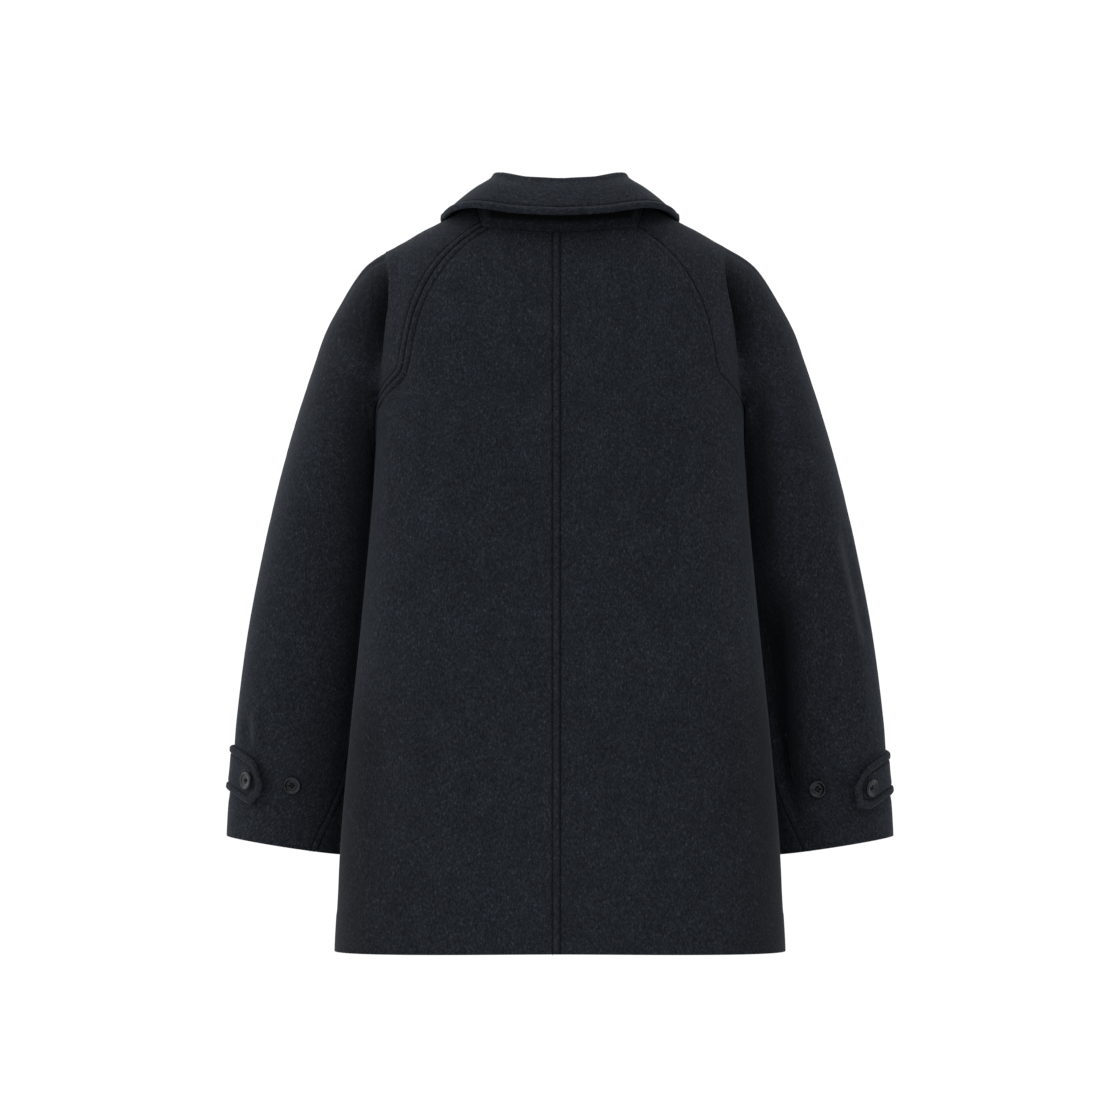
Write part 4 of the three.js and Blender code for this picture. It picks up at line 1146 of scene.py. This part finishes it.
# Painted shade darkens the row of topstitching, the neck seam behind, and the stand, which the fall
# keeps in shade.
height = apart(grid, grid[:, :1])
neck_seam_shade = NECK_PAINTED_SHADE * bell(height, 1.5) * smooth((78 - np.abs(grid[..., 0])) / 30)
painted_shading = smooth((STAND_LINES - number) / 4) * np.maximum(STAND_PAINTED_SHADE * smooth((height - 9) / 7), neck_seam_shade)
piece = shell("collar_cloth", outer, inner, np.maximum(0.3 * row, painted_shading))
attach(piece, "root")
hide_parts("collar")
column = grid.shape[1] - 1 - int(np.argmin(np.abs(COLLAR_EDGE - COLLAR_STITCH_IN)))
stitch_paths.append(outer[14:-14, column])

# ---------------------------------------------------------------- the cuff tabs
# A pointed tab on each cuff, of two layers, sewn into the overarm seam. It comes round the
# outside of the wrist and is buttoned at the back, where its stiff end stands off the sleeve.
# A row of topstitching gathers its edge into a roll.

TAB_Z, TAB_SLOPE_BACK, TAB_SLOPE_FRONT = -598, 0.52, 0.13  # outermost, and how steeply it slopes
TAB_HALF_WIDTH, TAB_POINT, TAB_THICK = 25, 12, 3.4
TAB_START, TAB_END = -52, {"left": 68, "right": 71}  # its turn about the sleeve, in degrees
TAB_STRAIGHT, TAB_STIFF = 28, 0.0068  # beyond this turn it runs straight on, off the sleeve
TAB_OFF = 0.6  # how far it lies off the sleeve before that
TAB_STITCH_IN, TAB_SWELL = 9, 1.3  # its topstitching, and how high its edge rolls
TAB_TIP = {"left": 5, "right": 11}  # half the width of its blunt point
TAB_DRAWN = {"left": 0.7, "right": 1.2}  # how deep its topstitching is drawn in
TAB_ROUND = {"left": 2.2, "right": 4.5}  # how rounded its corners are
TAB_SLIPPED = {"left": 0, "right": 6.5}  # how far its end has slipped down
TAB_SLIM = {"left": 0, "right": 1.5}  # how much slimmer it looks
# Where the points stand near its edges and near its end, in mm from them.
TAB_EDGE = np.array([0, 0.2, 0.6, 1.1, 1.7, 2.6, 4, 5.6, 7, 8, 8.6, 9.2, 9.9, 11, 13])
TAB_LAST = np.array([0, 0.15, 0.45, 0.9, 1.4, 2, 3])


def on_sleeve(z, turn):
    """A place on the left sleeve at a height and a turn about its middle, in degrees."""
    a = np.radians(turn)
    outer, inner = read(SLEEVE, "outer", z), read(SLEEVE, "inner", z)
    x = (outer + inner) / 2 + (outer - inner) / 2 * np.cos(a)
    return np.stack([x, read(SLEEVE, "y", z) + read(SLEEVE, "deep", z) * np.sin(a), z + 0 * a], -1)


def on_tab(turn, across, reach=0):
    """The same at a distance across the tab from its sloping middle line, and off the sleeve."""
    turn, across = np.broadcast_arrays(np.asarray(turn, float), np.asarray(across, float))
    outside = on_sleeve(np.full_like(turn, TAB_Z), 0 * turn)
    slope = np.where(turn > 0, TAB_SLOPE_BACK, TAB_SLOPE_FRONT)
    level = TAB_Z + slope * (on_sleeve(outside[..., 2], turn)[..., 0] - outside[..., 0])
    p = on_sleeve(level + across, turn)
    return p + unit(gradient(sleeve, p)) * np.asarray(reach)[..., None]


def tab_lift(turn):
    """How far the tab's inner face is off the sleeve."""
    return TAB_OFF + TAB_STIFF * np.maximum(turn - TAB_STRAIGHT, 0) ** 2


def tab_half_width(left, tip, soft):
    """Half the tab's width at a distance from its point, its corners a little rounded."""
    slanted = tip + (TAB_HALF_WIDTH - tip) * left / TAB_POINT
    return slanted - soft * np.logaddexp(0, (slanted - TAB_HALF_WIDTH) / soft)


for name, side in SIDES:
    # How long a degree of its turn is, about halfway along the part that shows.
    degree = np.linalg.norm(on_tab(40, 0, tab_lift(40)) - on_tab(41, 0, tab_lift(41)))
    length = degree * (TAB_END[name] - TAB_START)
    left = np.concatenate([TAB_LAST, np.arange(4, 34, 1.3), np.linspace(35, length, 34)])[::-1]
    turn = TAB_END[name] - left / degree
    half = tab_half_width(left, TAB_TIP[name], TAB_ROUND[name]) - TAB_SLIM[name] * smooth(left / 8)
    across = []
    for h in half:
        close = TAB_EDGE * min(1, h / (TAB_EDGE[-1] * 1.2))
        inner_part = np.linspace(-h + close[-1], h - close[-1], 11)[1:-1]
        across.append(np.concatenate([-h + close, inner_part, (h - close)[::-1]]))
    across = np.array(across)
    turn = turn[:, None] + 0 * across
    long_edge = np.stack([left, half], -1)
    point = np.stack([np.zeros(12), np.linspace(half[-1], 0, 12)], -1)
    outline = np.concatenate([long_edge, point[1:]])
    here = np.stack([left[:, None] + 0 * across, np.abs(across), 0 * across], -1)
    edge_in = away(here, np.pad(outline, ((0, 0), (0, 1))), 0.25)[0]
    edge_in = np.minimum(edge_in, half[:, None] - np.abs(across) + 1e-6)
    turned = free_edge(edge_in, TAB_THICK)
    rolled = smooth(edge_in / 3) * smooth((TAB_STITCH_IN - edge_in) / 2.5)
    drawn = TAB_DRAWN[name] * bell(edge_in - TAB_STITCH_IN, 1.3)
    base = on_tab(turn, across)
    off_sleeve = unit(gradient(sleeve, base))
    lift = tab_lift(turn)
    outer = base + off_sleeve * (lift + TAB_THICK - turned + TAB_SWELL * rolled - drawn)[..., None]
    inner = base + off_sleeve * (lift + turned)[..., None]
    for face in (outer, inner):
        face[..., 2] -= TAB_SLIPPED[name] * smooth((turn + 60) / 80)
        face[..., 0] *= side
    # Painted shade darkens the tab along its topstitching.
    piece = shell(f"cuff_tab_{name}_cloth", outer, inner, 0.5 * drawn)
    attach(piece, "root")
    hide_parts(f"cuff_tab_{name}")

# ---------------------------------------------------------------- the topstitching
# Lockstitch in a thread of the cloth's own colour, sunk into the grooves that it draws in the
# cloth, at about three stitches to the centimetre.

STITCH_PITCH, STITCH_LENGTH, STITCH_WIDE = 3.6, 2.9, 0.55


def sewing_thread():
    """Spun polyester thread, twisted: nearly black, with a slight gloss beside the wool."""
    material, tree, shader = new_material("twisted_polyester_thread")
    twist = noise(tree, node(tree, "ShaderNodeTexCoord").outputs["Object"], 0.5, Detail=1.0)
    surfaced(tree, shader, ramp(tree, twist, (0.3, "08090b"), (0.7, "121316")), twist, 0.4, 0.0002)
    shader.inputs["Roughness"].default_value = 0.8
    shader.inputs["Specular IOR Level"].default_value = 0.15
    return material


def stitch_tree():
    """Puts a small rounded stitch at every pitch along each path."""
    tree = bpy.data.node_groups.new("topstitch", "GeometryNodeTree")
    tree.interface.new_socket("Geometry", in_out="INPUT", socket_type="NodeSocketGeometry")
    for label in ("Pitch", "Length", "Width"):  # in metres
        tree.interface.new_socket(label, in_out="INPUT", socket_type="NodeSocketFloat")
    tree.interface.new_socket("Thread", in_out="INPUT", socket_type="NodeSocketMaterial")
    tree.interface.new_socket("Geometry", in_out="OUTPUT", socket_type="NodeSocketGeometry")
    given = node(tree, "NodeGroupInput")
    stitched, pitch, long, wide, colouring = (given.outputs[k] for k in range(5))

    def step(kind, settings=None, **links):
        return node(tree, kind, settings, **links).outputs[0]

    path = step("GeometryNodeMeshToCurve", Mesh=stitched)
    spaced = step("GeometryNodeResampleCurve", {"mode": "LENGTH"}, Curve=path, Length=pitch)
    heading = step("GeometryNodeInputTangent")
    turned = step("FunctionNodeAlignRotationToVector", {"axis": "Z"}, Vector=heading)
    ball = step("GeometryNodeMeshUVSphere", Segments=6, Rings=5, Radius=0.5)
    size = step("ShaderNodeCombineXYZ", X=wide, Y=wide, Z=long)
    set_down = {"Points": spaced, "Instance": ball, "Rotation": turned, "Scale": size}
    copies = step("GeometryNodeInstanceOnPoints", **set_down)
    real = step("GeometryNodeRealizeInstances", Geometry=copies)
    dressed = step("GeometryNodeSetMaterial", Geometry=real, Material=colouring)
    tree.links.new(dressed, node(tree, "NodeGroupOutput").inputs[0])
    return tree


def made_real(obj):
    """Turns an object's evaluated mesh into its own plain mesh, and drops the modifiers."""
    graph = bpy.context.evaluated_depsgraph_get()
    mesh = bpy.data.meshes.new_from_object(obj.evaluated_get(graph))
    obj.modifiers.clear()
    obj.data = mesh
    return obj


thread = sewing_thread()
points = np.concatenate(stitch_paths)
ends = np.cumsum([len(path) for path in stitch_paths])
pairs = np.array([(i, i + 1) for i in range(len(points) - 1) if i + 1 not in ends])
paths = bpy.data.meshes.new("topstitch_paths")
paths.from_pydata((points * MM).tolist(), pairs.tolist(), [])
stitches = placed("topstitching", paths)
sewn = stitches.modifiers.new("sewn", "NODES")
sewn.node_group = stitch_tree()
inputs = {s.name: s.identifier for s in sewn.node_group.interface.items_tree if s.in_out == "INPUT"}
sewn[inputs["Pitch"]] = STITCH_PITCH * MM
sewn[inputs["Length"]] = STITCH_LENGTH * MM
sewn[inputs["Width"]] = STITCH_WIDE * MM
sewn[inputs["Thread"]] = thread
made_real(stitches)
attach(stitches, "root")

# ---------------------------------------------------------------- the buttons
# Dark grey four-hole buttons, turned from cast resin that imitates horn: a raised rim round a
# shallow dish, polished, and sewn on with doubled thread.

CUFF_RADIUS, FRONT_RADIUS, BUTTON_GAP = 10, 11.5, 0.4
TAB_BUTTON_TURN, TAB_BUTTON_OFF = {"left": 51.5, "right": 54.5}, 1.2
SLEEVE_BUTTON_TURN = {"left": 93, "right": 103}
SLEEVE_BUTTON_Z = {"left": -616.5, "right": -620.5}
FRONT_BUTTONS = (-102, -238, -374, -510)  # their heights
BUTTON_TILT = {"left": (0.1, 0.0), "right": (0.08, -0.22)}  # sideways and up, on its shank
# Half of a button's section, from the middle of its back round to its dish, for a radius of 1.
BUTTON_PROFILE = (
    (0.0, 0.0),
    (0.74, 0.0),
    (0.88, 0.03),
    (0.97, 0.09),
    (1.0, 0.17),
    (0.98, 0.25),
    (0.93, 0.32),
    (0.87, 0.355),
    (0.81, 0.35),
    (0.76, 0.32),
    (0.7, 0.26),
    (0.62, 0.225),
    (0.5, 0.212),
    (0.0, 0.21),
)
BUTTON_SIDES = 48
HOLE_RADIUS, HOLE_SPACING = 1.0, 2.7
STRAND, STRAND_APART = 0.26, 0.42  # the doubled thread's radius, and how its strands are spaced


def cast_resin():
    """Polished horn-effect resin: dark grey with faint paler streaks, and soft highlights."""
    material, tree, shader = new_material("polished_horn_resin")
    place = node(tree, "ShaderNodeTexCoord").outputs["Object"]
    streak = node(tree, "ShaderNodeMapping", Vector=place, Scale=(1, 1, 3)).outputs["Vector"]
    horn = noise(tree, streak, 9, Detail=4.0, Distortion=0.6)
    base = ramp(tree, horn, (0.35, "050608"), (0.55, "0a0b0e"), (0.72, "16181c"))
    surfaced(tree, shader, base, noise(tree, place, 0.7, Detail=2.0), 0.08, 0.0001)
    shader.inputs["Roughness"].default_value = 0.24
    shader.inputs["Specular IOR Level"].default_value = 0.22
    shader.inputs["Specular Tint"].default_value = (0.86, 0.93, 1, 1)
    return material


def button_mesh(radius):
    """A button lying in the XY plane with its back at z = 0, in mm, before it is drilled."""
    rings = BUTTON_PROFILE[1:-1]
    verts, faces = [(0, 0, 0)], []
    for r, h in rings:
        for k in range(BUTTON_SIDES):
            a = 2 * math.pi * k / BUTTON_SIDES
            verts.append((r * radius * math.cos(a), r * radius * math.sin(a), h * radius))
    verts.append((0, 0, BUTTON_PROFILE[-1][1] * radius))
    starts = [1 + ring * BUTTON_SIDES for ring in range(len(rings))]
    for k in range(BUTTON_SIDES):
        n = (k + 1) % BUTTON_SIDES
        faces.append((0, 1 + n, 1 + k))
        for a, b in zip(starts, starts[1:]):
            faces.append((a + k, a + n, b + n, b + k))
        faces.append((starts[-1] + k, starts[-1] + n, len(verts) - 1))
    mesh = bpy.data.meshes.new("button")
    mesh.from_pydata(verts, [], faces)
    return mesh


def drilled_button(radius):
    """A button with its four holes cut through."""
    body = placed("button_body", button_mesh(radius))
    drills = []
    for x in (-0.5, 0.5):
        for y in (-0.5, 0.5):
            place = (x * HOLE_SPACING, y * HOLE_SPACING, 0)
            bpy.ops.mesh.primitive_cylinder_add(
                vertices=16, radius=HOLE_RADIUS, depth=radius, location=place
            )
            drills.append(bpy.context.object)
            cut = body.modifiers.new("hole", "BOOLEAN")
            cut.operation, cut.solver, cut.object = "DIFFERENCE", "EXACT", drills[-1]
    made_real(body)
    for drill in drills:
        bpy.data.objects.remove(drill)
    mesh = body.data
    bpy.data.objects.remove(body)
    return mesh


def thread_mesh(radius):
    """Two sets of strands, each from one hole across to the next and down into both, in mm."""
    verts, faces = [], []
    floor, steps, sides = BUTTON_PROFILE[-1][1] * radius, 12, 6
    deep, rise = 1.6, 0.75  # how far the strands reach into the holes, and stand over the dish
    for x in (-0.5, 0.5):
        for strand in (-STRAND_APART, 0.0, STRAND_APART):
            start = len(verts)
            for k in range(steps + 1):
                t = k / steps
                y = (t - 0.5) * (HOLE_SPACING + 0.4)
                z = floor - deep + (deep + rise) * math.sin(math.pi * t) ** 0.35
                for c in range(sides):
                    a = 2 * math.pi * c / sides
                    out, up = STRAND * math.cos(a), STRAND * math.sin(a)
                    verts.append((x * HOLE_SPACING + strand + out, y, z + up))
            for k in range(steps):
                a, b = start + sides * k, start + sides * (k + 1)
                for c in range(sides):
                    n = (c + 1) % sides
                    faces.append((a + c, b + c, b + n, a + n))
            faces.append(tuple(start + c for c in range(sides)))
            faces.append(tuple(len(verts) - 1 - c for c in range(sides)))
    mesh = bpy.data.meshes.new("button_thread")
    mesh.from_pydata(verts, [], faces)
    return mesh


def set_button(name, radius, place, normal, spin=0.0):
    """Places a button and its thread on the cloth, facing along the normal."""
    right = unit(np.cross([0.0, 0, 1], normal))
    top = np.cross(normal, right)
    c, s = math.cos(spin), math.sin(spin)
    turn = np.stack([right * c + top * s, top * c - right * s, normal], axis=1)
    for label, source, material in (
        (f"{name}_resin", buttons[radius], resin),
        (f"{name}_thread", threads[radius], thread),
    ):
        mesh = source.copy()
        flat = np.empty(len(mesh.vertices) * 3)
        mesh.vertices.foreach_get("co", flat)
        moved = (flat.reshape(-1, 3) @ turn.T + place + normal * BUTTON_GAP) * MM
        mesh.vertices.foreach_set("co", moved.ravel())
        obj = shown(label, mesh, material)
        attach(obj, "root")
    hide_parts(name)


resin = cast_resin()
buttons = {r: drilled_button(r) for r in (CUFF_RADIUS, FRONT_RADIUS)}
threads = {r: thread_mesh(r) for r in (CUFF_RADIUS, FRONT_RADIUS)}
for name, side in SIDES:
    mirror = np.array([side, 1, 1])
    at = TAB_BUTTON_TURN[name]
    around_it = ((at - 1, 0), (at + 1, 0), (at, -1), (at, 1))
    near = [on_tab(turn, across, tab_lift(turn) + TAB_THICK) for turn, across in around_it]
    normal = unit(np.cross(near[1] - near[0], near[3] - near[2]))
    place = on_tab(at, 0, tab_lift(at) + TAB_THICK)
    tilt = BUTTON_TILT[name]
    facing = unit(normal + np.array([tilt[0], 0, tilt[1]]))
    place = place + normal * TAB_BUTTON_OFF - np.array([0, 0, TAB_SLIPPED[name]])
    set_button(f"button_tab_{name}", CUFF_RADIUS, place * mirror, facing * mirror, 0.6)
    place = on_sleeve(np.array(SLEEVE_BUTTON_Z[name]), np.array(SLEEVE_BUTTON_TURN[name]))
    normal = unit(gradient(sleeve, place))
    set_button(f"button_sleeve_{name}", CUFF_RADIUS, place * mirror, normal * mirror, 0.9)
for i, z in enumerate(FRONT_BUTTONS):
    place = settle(torso, np.array([0.0, -110, z]), True)
    normal = unit(gradient(torso, place))
    set_button(f"button_front_{i + 1}", FRONT_RADIUS, place + normal * FRONT_LIFT, normal)

# ---------------------------------------------------------------- the studio
# A plain pale floor well below the coat, a white surround that is brighter overhead, at both sides
# above and past the camera, most at the wearer's left, and one broad soft light between the
# camera and the coat, higher than both.

# Everything in the studio is in metres.
FLOOR_Z, FLOOR_RADIUS = -1.45, 2.4
around = np.linspace(0, 2 * math.pi, 96, endpoint=False)
rim = [(FLOOR_RADIUS * math.cos(a), FLOOR_RADIUS * math.sin(a), FLOOR_Z) for a in around]
floor_mesh = bpy.data.meshes.new("floor")
floor_mesh.from_pydata(rim, [], [tuple(range(len(rim)))])
painted, _, shader = new_material("pale_painted_floor")  # matt, so it only fills the shade softly
shader.inputs["Base Color"].default_value = colour("e9e9e8")
shader.inputs["Roughness"].default_value = 0.9
floor_mesh.materials.append(painted)
floor = placed("floor", floor_mesh)

LAMP_AT, LAMP_DOWN, LAMP_ASIDE = (-1.1, 3.6, 2.6), math.radians(54), math.radians(17)
LAMP_WATTS = 36
softbox = bpy.data.lights.new("softbox", "AREA")
softbox.shape, softbox.size, softbox.size_y = "RECTANGLE", 3.2, 2.2
softbox.energy = LAMP_WATTS
lamp = placed("softbox", softbox)
lamp.location = LAMP_AT
lamp.rotation_euler = (-LAMP_DOWN, 0, LAMP_ASIDE)

VIEW_DISTANCE = 6.5
FRAME_WIDTH = 1.2462  # what the camera sees across, at the coat's own plane
VIEW_HEIGHT = -0.365
camera = bpy.data.cameras.new("camera")
camera.sensor_width = 36
camera.lens = camera.sensor_width * VIEW_DISTANCE / FRAME_WIDTH
camera.clip_end = 50
viewer = placed("camera", camera)
viewer.location = (0, VIEW_DISTANCE, VIEW_HEIGHT)
viewer.rotation_euler = (math.pi / 2, 0, math.pi)
bpy.context.scene.camera = viewer

world = bpy.data.worlds.new("studio")
world.use_nodes = True
bpy.context.scene.world = world
tree = world.node_tree
sky = node(tree, "ShaderNodeTexCoord").outputs["Generated"]
up = node(tree, "ShaderNodeSeparateXYZ", Vector=sky).outputs["Z"]
# From where the surround shines more, and how strongly: the sides above, the white wall past each
# side, and the wall behind the camera at the left.
SIDE_LIGHT = (
    ((0.78, 0.1, 0.62), 1.2),
    ((-0.78, 0.1, 0.62), 0.7),
    ((0.93, -0.36, 0), 0.7),
    ((-0.93, -0.36, 0), 0.1),
    ((0.69, 0.69, 0.2), 0.35),
)
BELOW, OVERHEAD, BACKDROP = 0.46, 0.91, 1.05  # the surround's own brightness, and behind the coat
total = node(tree, "ShaderNodeMapRange", n0=up, n1=-1.0, n2=1.0, n3=BELOW, n4=OVERHEAD).outputs[0]
for direction, strength in SIDE_LIGHT:
    turned = node(tree, "ShaderNodeVectorMath", {"operation": "DOT_PRODUCT"}, n0=sky, n1=direction)
    facing = node(tree, "ShaderNodeMath", {"operation": "MAXIMUM"}, n0=turned.outputs["Value"], n1=0.0)
    lobe = node(tree, "ShaderNodeMath", {"operation": "POWER"}, n0=facing.outputs[0], n1=2.0)
    summed = {"operation": "MULTIPLY_ADD"}
    total = node(tree, "ShaderNodeMath", summed, n0=lobe.outputs[0], n1=strength, n2=total).outputs[0]
seen = node(tree, "ShaderNodeLightPath").outputs["Is Camera Ray"]
bright = node(tree, "ShaderNodeMix", {"data_type": "FLOAT"}, n0=seen, n2=total, n3=BACKDROP).outputs[0]
tree.links.new(bright, tree.nodes["Background"].inputs["Strength"])
tree.nodes["Background"].inputs["Color"].default_value = (1, 1, 1, 1)

bpy.context.scene.view_settings.view_transform = "Standard"
